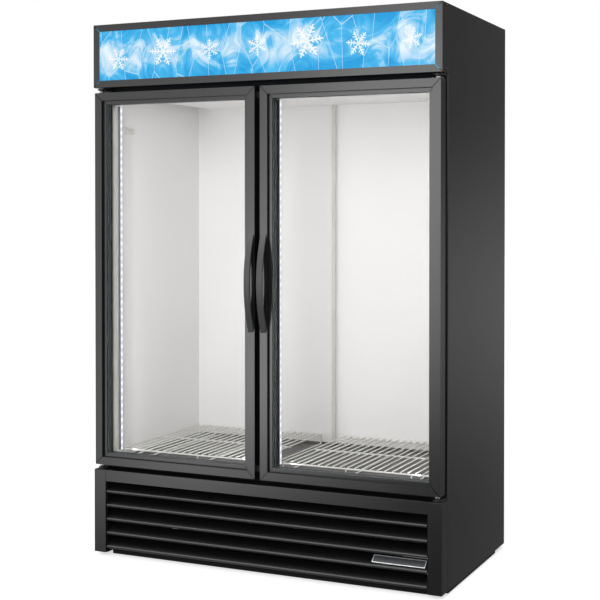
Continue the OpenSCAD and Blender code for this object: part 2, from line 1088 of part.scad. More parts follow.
// Motors on three-armed brackets behind the fan plate
module evaporator_fan_motors() {
    motor_d0 = evap_fan_d0 + evap_fan_depth + 2;
    motor_h = 56;
    arm_r = 3;
    reach = evap_fan_r + 12;
    color(dark_steel)
        at_front()
            both_sides() {
                bar_y(evap_fan_x, motor_d0, motor_d0 + motor_h, evap_fan_z, evap_motor_r);
                bar_y(evap_fan_x, evap_fan_d0 + 3 + clear, motor_d0, evap_fan_z, evap_shaft_r);
                for (a = [90, 210, 330])
                    translate([evap_fan_x, motor_d0 + 14, evap_fan_z])
                        rotate([0, -a, 0]) {
                            bar_x(evap_motor_r - 2, reach, 0, 0, arm_r);
                            bar_y(reach, evap_d0 + cover_t - motor_d0 - 14, arm_r + 2, 0, arm_r + 1);
                        }
            }
}

module evaporator_fan(x) {
    color(black_plastic)
        at_front()
            translate([x, evap_fan_d0, evap_fan_z])
                difference() {
                    fan_blades(evap_fan_r, evap_fan_depth);
                    bar_y(0, 3, evap_fan_depth + eps, 0, evap_shaft_r + fit);
                }
}

module evaporator_fan_left() {
    evaporator_fan(-evap_fan_x);
}

module evaporator_fan_right() {
    evaporator_fan(evap_fan_x);
}

// Straight tube from one point to another
module link(a, b, r) {
    v = b - a;
    l = norm(v);
    translate(a)
        rotate([0, acos(v[2] / l), atan2(v[1], v[0])])
            cylinder(h = l, r = r, $fn = 24);
}

// Tube through a list of points, with a ball at each bend
module pipe(points, r) {
    for (i = [1 : len(points) - 1])
        link(points[i - 1], points[i], r);
    for (i = [1 : 1 : len(points) - 2])
        translate(points[i])
            sphere(r, $fn = 24);
}

// Drain from the drip tray, down the back liner and through the floor
module drain_tube() {
    r = 8;
    x = 0;
    d = back_d - r - clear;
    color("#d8d8d2")
        at_front()
            post(x, d, floor_z + sheet_t + 14, evap_z0, r);
}

// ---- Condensing unit in the base ----

tray_x = 430;
tray_t = 3;
tray_z = rail_top;
tray_top = tray_z + tray_t;
coil_x = 250;
coil_half = 130;
cond_d0 = 90;
cond_d1 = 150;
cond_z1 = box_z - 16;
fan_z = (tray_top + cond_z1) / 2;
fan_ring_r = fan_z - tray_top - shroud_rim;
cond_fan_r = fan_ring_r - 5;
shroud_d = cond_d1 + 2;
fan_d0 = shroud_d + 6;
fan_depth = 30;
comp_x = -150;
comp_d = 430;
comp_z0 = tray_top + 14;
comp_h = box_z - comp_z0 - comp_room;

module unit_tray() {
    lip_h = 20;
    d0 = rail_d0 + 8;
    d1 = rail_d1 - 2;
    color(zinc)
        at_front() {
            block([-tray_x, d0, tray_z], [tray_x, d1, tray_top]);
            both_sides()
                block([tray_x - tray_t, rail_d0 + rail_w, tray_top], [tray_x, d1, tray_top + lip_h]);
        }
}

// Welded steel shell with a base plate on rubber feet
module compressor() {
    shell_h = comp_h - 16;
    dome = 34;
    r = comp_r;
    plate = comp_r * 0.85;
    color(dark_steel)
        at_front()
            translate([comp_x, comp_d, comp_z0]) {
                translate([0, 0, 3])
                    rotate_extrude()
                        polygon(concat(
                            [[0, 0]],
                            [for (a = [-90 : 15 : 0]) [r - 20 + 20 * cos(a), 20 + 20 * sin(a)]],
                            [for (a = [0 : 10 : 90]) [r * cos(a), shell_h - dome + dome * sin(a)]]
                        ));
                block([-plate, -plate, 0], [plate, plate, 3]);
                for (x = [-1, 1], d = [-1, 1])
                    post(x * (plate - 14), d * (plate - 14), tray_top - comp_z0, 0, 12);
            }
}

// Finned coil with return bends at both ends
module condenser_coil() {
    x0 = coil_x - coil_half;
    x1 = coil_x + coil_half;
    fin_t = 2;
    fin_n = 40;
    step = (x1 - x0 - fin_t) / (fin_n - 1);
    bend_r = 13;
    z0 = tray_top;
    color("#4a4d50")
        at_front() {
            block([x0, cond_d0 + 8, z0 + 8], [x1, cond_d1 - 8, cond_z1 - 8]);
            for (i = [0 : fin_n - 1])
                block([x0 + i * step, cond_d0, z0], [x0 + i * step + fin_t, cond_d1, cond_z1]);
            for (side = [-1, 1], d = [cond_d0 + 18, cond_d1 - 18])
                for (z = [z0 + 24 : 52 : cond_z1 - 36])
                    translate([coil_x + side * coil_half, d, z + bend_r])
                        rotate([90, 0, 0])
                            rotate([0, 0, -90 * side])
                                rotate_extrude(angle = 180)
                                    translate([bend_r, 0])
                                        circle(4, $fn = 16);
        }
}

module condenser_shroud() {
    x0 = coil_x - coil_half - 12;
    x1 = coil_x + coil_half + 12;
    color(dark_steel)
        at_front() {
            difference() {
                block([x0, cond_d1, tray_top], [x1, shroud_d, cond_z1 + 4]);
                bar_y(coil_x, cond_d1 - eps, shroud_d + eps, fan_z, fan_ring_r);
            }
        }
}

module condenser_fan_motor() {
    d0 = fan_d0 + fan_depth + 8;
    h = 70;
    shaft_r = 4;
    color(dark_steel)
        at_front() {
            bar_y(coil_x, d0, d0 + h, fan_z, 38);
            bar_y(coil_x, fan_d0 + 3, d0, fan_z, shaft_r);
            block([coil_x - 30, d0 + 20, tray_top], [coil_x + 30, d0 + 50, tray_top + 3]);
            block([coil_x - 30, d0 + 33, tray_top + 3], [coil_x + 30, d0 + 36, fan_z - 37]);
        }
}

module condenser_fan() {
    shaft_r = 4;
    color("#c8c8c4")
        at_front()
            translate([coil_x, fan_d0, fan_z])
                difference() {
                    fan_blades(cond_fan_r, fan_depth);
                    bar_y(0, 3 - clear, fan_depth + eps, 0, shaft_r + fit);
                }
}

module electrical_box() {
    w = 120;
    d = 150;
    h = 110;
    x = -tray_x + 40;
    d0 = rail_d0 + rail_w + 40;
    color("#3a3a3c")
        at_front() {
            block([x, d0, tray_top], [x + w, d0 + d, tray_top + h]);
            block([x - 3, d0 - 3, tray_top + h], [x + w + 3, d0 + d + 3, tray_top + h + 4]);
        }
}

// Copper lines between the compressor, the condenser and the evaporator
module refrigerant_lines() {
    r = pipe_r;
    comp_top = comp_z0 + 3 + comp_h - 16;
    up_z = box_z - clear;
    cross_d = comp_d - comp_r * 1.6;
    riser_x = coil_x - coil_half - 30;
    outer_x = coil_x - coil_half - 50;
    suction_x = comp_x - comp_r - 40;
    suction_z = comp_z0 + comp_h * 0.3;
    top_z = comp_top + 18;
    low_z = tray_top + 12;
    suction_d = comp_d + comp_r + 90;
    liquid_d = suction_d - 40;
    dryer_z = tray_top + 30;
    dryer_d0 = comp_d * 0.77;
    dryer_h = 110;
    dryer_r = 14;
    color("#b87333")
        at_front() {
            pipe([
                [comp_x, comp_d, comp_top], [comp_x, comp_d, top_z],
                [comp_x, cross_d, top_z], [riser_x, cross_d, top_z],
                [riser_x, cond_d1 - 18, top_z], [riser_x, cond_d1 - 18, cond_z1 - 14],
                [coil_x - coil_half, cond_d1 - 18, cond_z1 - 14]
            ], r);
            pipe([
                [comp_x - comp_r, comp_d, suction_z], [suction_x, comp_d, suction_z],
                [suction_x, suction_d, suction_z], [suction_x, suction_d, up_z]
            ], r);
            pipe([
                [coil_x - coil_half, cond_d0 + 18, low_z], [outer_x, cond_d0 + 18, low_z],
                [outer_x, cond_d0 + 18, dryer_z], [outer_x, liquid_d, dryer_z],
                [outer_x, liquid_d, up_z]
            ], r);
            bar_y(outer_x, dryer_d0, dryer_d0 + dryer_h, dryer_z, dryer_r);
        }
}

// ---- Controls inside the storage space ----

control_inset = 120;
control_x = evap_x - control_inset;
control_z = evap_z0 + 60;
knob_r = 20;
knob_h = 14;
panel_t = 10;
rocker_x = control_x - 70;

// Control housing on the fan plate, with a shaft for the knob and a rocker pocket
module temperature_control() {
    d1 = evap_d0;
    d0 = d1 - panel_t;
    pin_d = d0 + 5;
    color("#d4d4cc")
        at_front() {
            difference() {
                block([rocker_x - 25, d0, control_z - 30], [control_x + 35, d1, control_z + 30]);
                block(
                    [rocker_x - 8 - clear, d0 - eps, control_z - 15.5],
                    [rocker_x + 8 + clear, d0 + 9, control_z + 15.5]
                );
            }
            bar_y(control_x, d0 - knob_h + 4 + clear, d0, control_z, 4);
            bar_x(rocker_x - 8 - clear, rocker_x + 8 + clear, pin_d, control_z, 1.5);
        }
}

module control_knob() {
    d1 = evap_d0 - panel_t - clear;
    color(black_plastic)
        at_front()
            translate([control_x, d1, control_z])
                rotate([90, 0, 0])
                    difference() {
                        union() {
                            cylinder(h = 3, r = knob_r);
                            cylinder(h = knob_h, r = knob_r * 0.8);
                            translate([-3, 0, 3])
                                cube([6, knob_r * 0.8 - 1, knob_h - 1.5]);
                        }
                        translate([0, 0, -eps])
                            cylinder(h = knob_h - 4 + eps - clear, r = 4 + fit);
                    }
}

// Rocker on its pin, with its two faces sloping back from the middle
module light_switch() {
    d0 = evap_d0 - panel_t;
    pin_d = d0 + 5;
    x = rocker_x - 8;
    color(black_plastic)
        at_front()
            difference() {
                run_x(x, x + 16)
                    translate([pin_d, control_z])
                        polygon([[-8, -13.5], [-8, 0], [-5, 13.5], [0, 13.5], [3, 3], [3, -3], [-2, -13.5]]);
                bar_x(x - eps, x + 16 + eps, pin_d, control_z, 1.5 + fit);
            }
}

// Left door pieces are the right-hand ones mirrored
module left() {
    mirror([1, 0, 0])
        children();
}

side_panel_left();
side_panel_right();
box_panels();
face_panels();
foam_insulation();
liner_walls();
floor_pan();
breaker_strips();
centre_mullion();
base_frame();
leveling_foot_front_left();
leveling_foot_front_right();
leveling_foot_rear_left();
leveling_foot_rear_right();
corner_posts();
kick_band();
louvre_grille();
rear_cover();
header_frame();
header_shell();
sign_panel();
sign_lamp();
led_channels();
led_lenses();
floor_rack_left();
floor_rack_right();
evaporator_cover();
evaporator_coil();
evaporator_fan_motors();
evaporator_fan_left();
evaporator_fan_right();
drain_tube();
unit_tray();
compressor();
condenser_coil();
condenser_shroud();
condenser_fan_motor();
condenser_fan();
electrical_box();
refrigerant_lines();
temperature_control();
control_knob();
light_switch();
hinge_brackets();
left() door_frame();  // left_door_frame
left() glazing_bead();  // left_glazing_bead
left() glass();  // left_glass
left() spacer();  // left_spacer
left() gasket();  // left_gasket
left() handle();  // left_handle
left() hinge_hardware();  // left_hinge_hardware
door_frame();  // right_door_frame
glazing_bead();  // right_glazing_bead
glass();  // right_glass
spacer();  // right_spacer
gasket();  // right_gasket
handle();  // right_handle
hinge_hardware();  // right_hinge_hardware
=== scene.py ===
"""Looks of an upright two-door freezer cabinet, modelled round its packed solids.

Run as a script, it finishes every solid, adds the small pieces that the solids leave out, and sets up
a plain studio. Lengths are in metres, with +X to the right, -Y towards the viewer and +Z up.
"""

import json
import math

import bpy
from bpy.props import FloatProperty, FloatVectorProperty, IntProperty, PointerProperty
from mathutils import Matrix, Vector


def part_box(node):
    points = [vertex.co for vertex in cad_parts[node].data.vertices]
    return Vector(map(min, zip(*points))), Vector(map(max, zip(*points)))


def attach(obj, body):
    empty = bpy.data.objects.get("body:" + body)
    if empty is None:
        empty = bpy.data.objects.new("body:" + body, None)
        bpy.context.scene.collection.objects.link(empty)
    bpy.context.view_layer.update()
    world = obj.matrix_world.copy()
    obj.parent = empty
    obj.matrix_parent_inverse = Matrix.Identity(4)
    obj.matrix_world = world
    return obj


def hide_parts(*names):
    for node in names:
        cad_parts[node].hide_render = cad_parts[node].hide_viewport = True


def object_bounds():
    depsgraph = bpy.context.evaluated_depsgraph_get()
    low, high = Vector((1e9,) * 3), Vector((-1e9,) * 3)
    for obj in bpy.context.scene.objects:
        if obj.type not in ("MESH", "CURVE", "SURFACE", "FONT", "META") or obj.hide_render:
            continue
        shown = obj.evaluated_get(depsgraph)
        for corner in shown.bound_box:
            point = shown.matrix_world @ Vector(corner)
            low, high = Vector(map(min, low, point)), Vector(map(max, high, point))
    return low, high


bl_info = {
    "name": "Glass Door Freezer Looks",
    "version": (1, 0, 0),
    "blender": (4, 5, 0),
    "location": "View3D > Sidebar > Freezer",
    "description": "Finishes, small fittings and studio for an upright two-door freezer cabinet",
    "category": "Object",
}

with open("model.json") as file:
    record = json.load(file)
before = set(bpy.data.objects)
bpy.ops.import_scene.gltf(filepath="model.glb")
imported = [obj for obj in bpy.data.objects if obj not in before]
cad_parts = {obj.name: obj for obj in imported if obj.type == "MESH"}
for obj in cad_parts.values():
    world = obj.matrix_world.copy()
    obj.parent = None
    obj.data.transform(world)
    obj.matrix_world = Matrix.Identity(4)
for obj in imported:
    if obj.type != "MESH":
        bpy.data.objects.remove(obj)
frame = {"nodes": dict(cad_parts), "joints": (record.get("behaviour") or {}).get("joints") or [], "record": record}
cad_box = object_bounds()

MM = 0.001


# ---- Colours and measures ----


def linear(code):
    """Turns an sRGB hex colour into the linear colour that shaders use."""
    parts = [int(code[i : i + 2], 16) / 255 for i in (1, 3, 5)]
    curve = [c / 12.92 if c <= 0.04045 else ((c + 0.055) / 1.055) ** 2.4 for c in parts]
    return (*curve, 1.0)


def span(name):
    """Lowest and highest corners of a solid at rest."""
    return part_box(name)


# ---- Settings a user would change ----


def colour(name, description, code):
    """A colour setting whose default is an sRGB hex value."""
    return FloatVectorProperty(
        name=name,
        description=description,
        subtype="COLOR",
        size=4,
        min=0,
        max=1,
        default=linear(code),
    )


def length(name, description, default, low=0.0, high=1.0):
    """A length setting in metres."""
    return FloatProperty(
        name=name,
        description=description,
        unit="LENGTH",
        default=default,
        min=low,
        max=high,
        precision=4,
    )


def amount(name, description, default, low=0.0, **more):
    """A setting that is a plain number, such as a brightness or a power."""
    return FloatProperty(name=name, description=description, default=default, min=low, **more)


class FreezerPaint(bpy.types.PropertyGroup):
    """Colours and gloss of the metal, plastic and glass"""

    coat: colour("Powder coat", "Charcoal powder coat of the cabinet and doors", "#1c1c1d")
    # The louvre black is darker than the coat: black enamel, darkened further as painted shade for the shadow
    # between the blades.
    louvre: colour("Louvre", "Black enamel of the louvre blades", "#0d0d0e")
    liner: colour("Liner", "White enamel of the inside walls", "#ecebea")
    slate: colour("Spacer", "Slate strip round the edge of the glass unit", "#3b4245")
    gasket: colour("Gasket", "Black vinyl of the door gaskets", "#141414")
    coat_roughness: amount("Coat roughness", "Roughness of the satin powder coat", 0.16, 0.05, max=1.0)
    edge_width: length("Edge width", "Rounding of folded and cut metal edges", 0.9 * MM, 0.0, 5 * MM)


class FreezerSign(bpy.types.PropertyGroup):
    """The lit frost pattern in the header"""

    deep: colour("Deep blue", "Blue of the deepest ice", "#149fe0")
    mid: colour("Mid blue", "Main blue of the sign", "#4cbcf0")
    pale: colour("Pale ice", "Palest ice and frost", "#e9f7fe")
    glow: amount("Glow", "Brightness of the lit film", 0.92)
    flakes: IntProperty(
        name="Snow crystals", description="Number of crystals across the sign", default=7, min=0, max=24
    )
    flake_size: length("Crystal size", "Across the largest crystal", 128 * MM, 0.01, 0.2)


class FreezerLamps(bpy.types.PropertyGroup):
    """The light strips inside the storage space"""

    glow: amount("Strip glow", "Brightness of the strip covers", 1.0)
    power: amount("Strip power", "Power of each strip's light", 0.78, unit="POWER")
    diode_pitch: length("Diode pitch", "Spacing of the diodes along a strip", 28 * MM, 0.005, 0.1)


class FreezerStage(bpy.types.PropertyGroup):
    """The plain studio round the cabinet"""

    floor: colour("Floor", "Pale floor", "#f4f4f4")
    floor_size: length("Floor size", "Side of the square floor", 60.0, 2.0, 200.0)
    daylight: amount("Daylight", "Level of the even light all round", 0.55)
    key_power: amount("Key light", "Power of the large soft light", 110.0, unit="POWER")
    window: amount("Window", "Brightness of the soft window in reflections", 3.6)
    walls: amount("Walls", "Brightness of the walls ahead in reflections", 1.65)
    overhead: amount("Overhead", "Brightness of the card overhead in reflections", 3.2)
    far_wall: amount("Far wall", "Brightness of the far wall in reflections", 0.22)
    lens: amount("Lens", "Focal length of the camera", 76.94, 10.0, unit="CAMERA")


# ---- Materials ----


def add_node(tree, kind, inputs=None, **settings):
    """Adds a shader node. Each input is a value, a socket to link, or a node to link by its first output."""
    made = tree.nodes.new("ShaderNode" + kind)
    for name, value in settings.items():
        setattr(made, name, value)
    for key, value in (inputs or {}).items():
        if isinstance(value, bpy.types.Node):
            value = value.outputs[0]
        if isinstance(value, bpy.types.NodeSocket):
            tree.links.new(value, made.inputs[key])
        else:
            made.inputs[key].default_value = value
    return made


def per(size):
    """Scale of a pattern whose repeats are this many metres apart."""
    return 1 / size


def shade(colour, factor):
    """The same colour, lighter or darker."""
    return (*[min(1, c * factor) for c in colour[:3]], 1.0)


def new_material(name):
    """An empty material, and its node tree."""
    made = bpy.data.materials.new(name)
    made.use_nodes = True
    made.node_tree.nodes.clear()
    return made, made.node_tree


def close_material(tree, shader):
    """Ends a material's tree with its shader."""
    add_node(tree, "OutputMaterial", {"Surface": shader})


def surface(tree, colour, tone, gloss, bump, more):
    """Closes a material with one shader whose tone, gloss and relief each follow a pattern.

    tone and gloss are a pattern with the colour's factor, or the roughness, where it is lowest and
    highest. bump is a pattern with its strength and depth, or None.
    """
    mixed = add_node(
        tree,
        "Mix",
        {"Factor": tone[0], "A": shade(colour, tone[1]), "B": shade(colour, tone[2])},
        data_type="RGBA",
    )
    rough = add_node(tree, "MapRange", {"Value": gloss[0], "To Min": gloss[1], "To Max": gloss[2]})
    inputs = {"Base Color": mixed.outputs[2], "Roughness": rough, **more}
    if bump:
        relief = add_node(tree, "Bump", {"Height": bump[0], "Strength": bump[1], "Distance": bump[2]})
        inputs["Normal"] = relief
    close_material(tree, add_node(tree, "BsdfPrincipled", inputs))


def painted(name, colour, roughness, peel=6 * MM, depth=0.01 * MM, variation=0.12, specular=0.5):
    """Powder coat or enamel on sheet metal: a dielectric with orange peel.

    The peel of a real coat is 1 to 3 mm from crest to crest, which is too fine to show, so it is drawn
    wider. The broad tone change is what handling and cleaning leave on it.
    """
    material, tree = new_material(name)
    place = add_node(tree, "TexCoord").outputs["Object"]
    crests = add_node(tree, "TexNoise", {"Vector": place, "Scale": per(peel), "Detail": 2.0})
    broad = add_node(
        tree, "TexNoise", {"Vector": place, "Scale": per(260 * MM), "Detail": 4.0, "Roughness": 0.6}
    )
    surface(
        tree,
        colour,
        (broad, 1 - variation, 1 + variation),
        (broad, roughness - 0.02, roughness + 0.02),
        (crests, 0.6, depth),
        {"IOR": 1.5, "Specular IOR Level": specular},
    )
    return material


def moulded(name, colour, roughness, grain=1.6 * MM, depth=0.06 * MM):
    """Moulded or extruded plastic and rubber: a fine spark-eroded grain over an even colour.

    A real grain is 0.2 to 0.5 mm, which is too fine to show, so it is drawn coarser.
    """
    material, tree = new_material(name)
    place = add_node(tree, "TexCoord").outputs["Object"]
    cells = add_node(tree, "TexVoronoi", {"Vector": place, "Scale": per(grain)})
    flow = add_node(tree, "TexNoise", {"Vector": place, "Scale": per(70 * MM), "Detail": 3.0})
    surface(
        tree,
        colour,
        (flow, 0.88, 1.14),
        (flow, roughness - 0.05, roughness + 0.07),
        (cells, 0.35, depth),
        {"IOR": 1.53},
    )
    return material


def brushed(name, colour, roughness, grain=(0.5 * MM, 40 * MM, 0.5 * MM), depth=0.03 * MM, metallic=1.0):
    """Rolled, brushed or drawn metal: streaks along one axis, given by the grain's length each way.

    Brushing lines are about 0.1 mm wide, which is too fine to show, so they are drawn at 0.5 mm and up.
    """
    material, tree = new_material(name)
    place = add_node(tree, "TexCoord").outputs["Object"]
    stretched = add_node(tree, "Mapping", {"Vector": place, "Scale": tuple(per(g) for g in grain)})
    streaks = add_node(tree, "TexNoise", {"Vector": stretched, "Scale": 1.0, "Detail": 3.0})
    cloud = add_node(tree, "TexNoise", {"Vector": place, "Scale": per(90 * MM), "Detail": 3.0})
    surface(
        tree,
        colour,
        (streaks, 0.84, 1.12),
        (cloud, roughness - 0.07, roughness + 0.09),
        (streaks, 0.5, depth),
        {"Metallic": metallic},
    )
    return material


def zinc_plate(name, colour):
    """Bright zinc plate: small irregular spangles, each a little lighter or darker than the next."""
    material, tree = new_material(name)
    place = add_node(tree, "TexCoord").outputs["Object"]
    spangle = add_node(tree, "TexVoronoi", {"Vector": place, "Scale": per(7 * MM)})
    red, green, _ = add_node(tree, "SeparateColor", {"Color": spangle.outputs["Color"]}).outputs
    surface(tree, colour, (red, 0.72, 1.1), (green, 0.26, 0.44), None, {"Metallic": 1.0})
    return material


def pane_glass(name):
    """Clear float glass: all but a few percent of light passes, and the rest is a sharp reflection.

    Light passes through a flat pane without bending to the eye, so it is drawn as see-through. Its faces
    have the low-reflection coat of shop glazing, so each gives back less than bare glass would.
    """
    material, tree = new_material(name)
    through = add_node(tree, "BsdfTransparent", {"Color": linear("#fefefe")})
    mirror = add_node(tree, "BsdfGlossy", {"Color": (1, 1, 1, 1), "Roughness": 0.02})
    facing = add_node(tree, "Fresnel", {"IOR": 1.06})
    mixed = add_node(tree, "MixShader", {0: facing, 1: through, 2: mirror})
    close_material(tree, mixed)
    return material


def lit_cover(name, strength, pitch):
    """Opal cover of a light strip: white glow, a little brighter over each diode behind it."""
    ripple = 0.2
    dim, bright = (1 - ripple) * strength, (1 + ripple) * strength
    material, tree = new_material(name)
    place = add_node(tree, "TexCoord").outputs["Object"]
    height = add_node(tree, "SeparateXYZ", {"Vector": place}).outputs["Z"]
    turn = add_node(tree, "Math", {0: height, 1: math.tau / pitch}, operation="MULTIPLY")
    wave = add_node(tree, "Math", {0: turn}, operation="COSINE")
    level = add_node(tree, "MapRange", {"Value": wave, "From Min": -1.0, "To Min": dim, "To Max": bright})
    glow = add_node(tree, "Emission", {"Color": linear("#f3f8ff"), "Strength": level})
    close_material(tree, glow)
    return material


def fold(tree, angle, step):
    """Folds an angle about each multiple of a step, so that one branch is repeated all round."""
    turned = add_node(tree, "Math", {0: angle, 1: step, 2: 0.0}, operation="WRAP")
    centred = add_node(tree, "Math", {0: turned, 1: step / 2}, operation="SUBTRACT")
    folded = add_node(tree, "Math", {0: centred}, operation="ABSOLUTE")
    return folded


def bar_mask(tree, along, across, start, tilt, reach, width):
    """1 on a straight bar that leaves the point (start, 0) at a tilt, and 0 off it."""
    core = 0.55 * width
    shifted = add_node(tree, "Math", {0: along, 1: start}, operation="SUBTRACT")
    shares = []
    for first, second, middle, full, none in (
        (math.cos(tilt), math.sin(tilt), reach / 2, reach / 2 - width, reach / 2),
        (-math.sin(tilt), math.cos(tilt), 0.0, core, width),
    ):
        part = add_node(tree, "Math", {0: shifted, 1: first}, operation="MULTIPLY")
        line = add_node(tree, "Math", {0: across, 1: second, 2: part}, operation="MULTIPLY_ADD")
        centred = add_node(tree, "Math", {0: line, 1: middle}, operation="SUBTRACT")
        off = add_node(tree, "Math", {0: centred}, operation="ABSOLUTE")
        share = add_node(
            tree,
            "MapRange",
            {"Value": off, "From Min": full, "From Max": none, "To Min": 1.0, "To Max": 0.0},
        )
        shares.append(share)
    return add_node(tree, "Math", {0: shares[0], 1: shares[1]}, operation="MULTIPLY")


def snow_crystals(tree, across, up, pitch, size):
    """A row of six-armed snow crystals, one in each stretch of the sign, turned and sized at random.

    A crystal is drawn with arms 1 long, at a scale that makes the largest as wide as the size given.
    """
    arm_width, branch_width = 0.055, 0.045
    branches = ((0.30, 0.20), (0.50, 0.30), (0.72, 0.20))
    sixth = math.tau / 6
    drop = 0.16 * size
    cell = add_node(tree, "Math", {0: across, 1: 1 / pitch}, operation="MULTIPLY")
    number = add_node(tree, "Math", {0: cell}, operation="FLOOR")
    chance = add_node(tree, "TexWhiteNoise", {"W": number}, noise_dimensions="1D").outputs["Color"]
    red, green, blue = add_node(tree, "SeparateColor", {"Color": chance}).outputs
    within = add_node(tree, "Math", {0: cell}, operation="FRACT")
    local_x = add_node(tree, "Math", {0: within, 1: pitch, 2: -pitch / 2}, operation="MULTIPLY_ADD")
    lift = add_node(tree, "MapRange", {"Value": green, "To Min": -drop, "To Max": drop})
    local_z = add_node(tree, "Math", {0: up, 1: lift}, operation="SUBTRACT")
    scale = add_node(tree, "MapRange", {"Value": red, "To Min": 2.0 / size, "To Max": 3.4 / size})
    x = add_node(tree, "Math", {0: local_x, 1: scale}, operation="MULTIPLY")
    z = add_node(tree, "Math", {0: local_z, 1: scale}, operation="MULTIPLY")
    flat = add_node(tree, "CombineXYZ", {"X": x, "Y": z})
    radius = add_node(tree, "VectorMath", {0: flat}, operation="LENGTH").outputs["Value"]
    angle = add_node(tree, "Math", {0: z, 1: x}, operation="ARCTAN2")
    turned = add_node(tree, "Math", {0: blue, 1: sixth, 2: angle}, operation="MULTIPLY_ADD")
    folded = fold(tree, turned, sixth)
    sides = []
    for turn in ("COSINE", "SINE"):
        part = add_node(tree, "Math", {0: folded}, operation=turn)
        sides.append(add_node(tree, "Math", {0: radius, 1: part}, operation="MULTIPLY"))
    mask = bar_mask(tree, *sides, 0.0, 0.0, 1.0, arm_width)
    for start, reach in branches:
        branch = bar_mask(tree, *sides, start, math.radians(60), reach, branch_width)
        mask = add_node(tree, "Math", {0: mask, 1: branch}, operation="MAXIMUM")
    return mask


def frost_print(name, settings, low, high):
    """Back-lit film behind clear acrylic: facets of clear ice, drifts of frost and snow crystals."""
    facet, cloud = 75 * MM, 120 * MM
    lean, squeeze = math.radians(28), 0.45
    material, tree = new_material(name)
    place = add_node(tree, "TexCoord").outputs["Object"]
    x, _, z = add_node(tree, "SeparateXYZ", {"Vector": place}).outputs
    across = add_node(tree, "Math", {0: x, 1: low.x}, operation="SUBTRACT")
    middle = (low.z + high.z) / 2
    up = add_node(tree, "Math", {0: z, 1: middle}, operation="SUBTRACT")

    flat = add_node(tree, "CombineXYZ", {"X": across, "Y": up})
    leaning = add_node(
        tree, "Mapping", {"Vector": flat, "Rotation": (0, 0, lean), "Scale": (1, squeeze, 1)}
    )
    facets, seams = [
        add_node(
            tree,
            "TexVoronoi",
            {"Vector": leaning, "Scale": per(facet)},
            voronoi_dimensions="2D",
            feature=feature,
        )
        for feature in ("F1", "DISTANCE_TO_EDGE")
    ]
    chance = add_node(tree, "SeparateColor", {"Color": facets.outputs["Color"]}).outputs["Red"]
    drift = add_node(
        tree,
        "TexNoise",
        {"Vector": flat, "Scale": per(cloud), "Detail": 7.0, "Roughness": 0.62, "Distortion": 1.4},
        noise_dimensions="2D",
    )

    tall = high.z - low.z
    from_middle = add_node(tree, "Math", {0: up}, operation="ABSOLUTE")
    band = add_node(
        tree,
        "MapRange",
        {
            "Value": from_middle,
            "From Min": 0.12 * tall,
            "From Max": 0.44 * tall,
            "To Min": 0.42,
            "To Max": 0.0,
        },
        interpolation_type="SMOOTHSTEP",
    )
    with_facets = add_node(tree, "Math", {0: chance, 1: 0.34, 2: band}, operation="MULTIPLY_ADD")
    drifted = add_node(
        tree,
        "MapRange",
        {"Value": drift, "From Min": 0.36, "From Max": 0.66, "To Min": -0.3, "To Max": 0.34},
    )
    paleness = add_node(tree, "Math", {0: with_facets, 1: drifted}, operation="ADD", use_clamp=True)
    ramp = add_node(tree, "ValToRGB", {"Fac": paleness})
    ramp.color_ramp.elements[0].color = settings.deep
    ramp.color_ramp.elements[1].color = settings.pale
    ramp.color_ramp.elements.new(0.42).color = settings.mid

    hairline = add_node(
        tree,
        "MapRange",
        {"Value": seams, "From Max": 0.022, "To Min": 0.55, "To Max": 0.0},
    )
    seamed = add_node(
        tree,
        "Mix",
        {"Factor": hairline, "A": ramp, "B": settings.pale},
        data_type="RGBA",
    ).outputs[2]
    picture = seamed
    if settings.flakes:
        pitch = (high.x - low.x) / settings.flakes
        crystals = snow_crystals(tree, across, up, pitch, settings.flake_size)
        printed = add_node(tree, "Math", {0: crystals, 1: 0.92}, operation="MULTIPLY")
        picture = add_node(
            tree, "Mix", {"Factor": printed, "A": seamed, "B": linear("#ffffff")}, data_type="RGBA"
        ).outputs[2]
    dimmed = add_node(
        tree, "Mix", {"Factor": 0.94, "A": picture, "B": (0, 0, 0, 1)}, data_type="RGBA"
    ).outputs[2]
    shader = add_node(
        tree,
        "BsdfPrincipled",
        {
            "Base Color": dimmed,
            "Roughness": 0.25,
            "IOR": 1.49,
            "Specular IOR Level": 0.15,
            "Emission Color": picture,
            "Emission Strength": settings.glow,
        },
    )
    close_material(tree, shader)
    return material


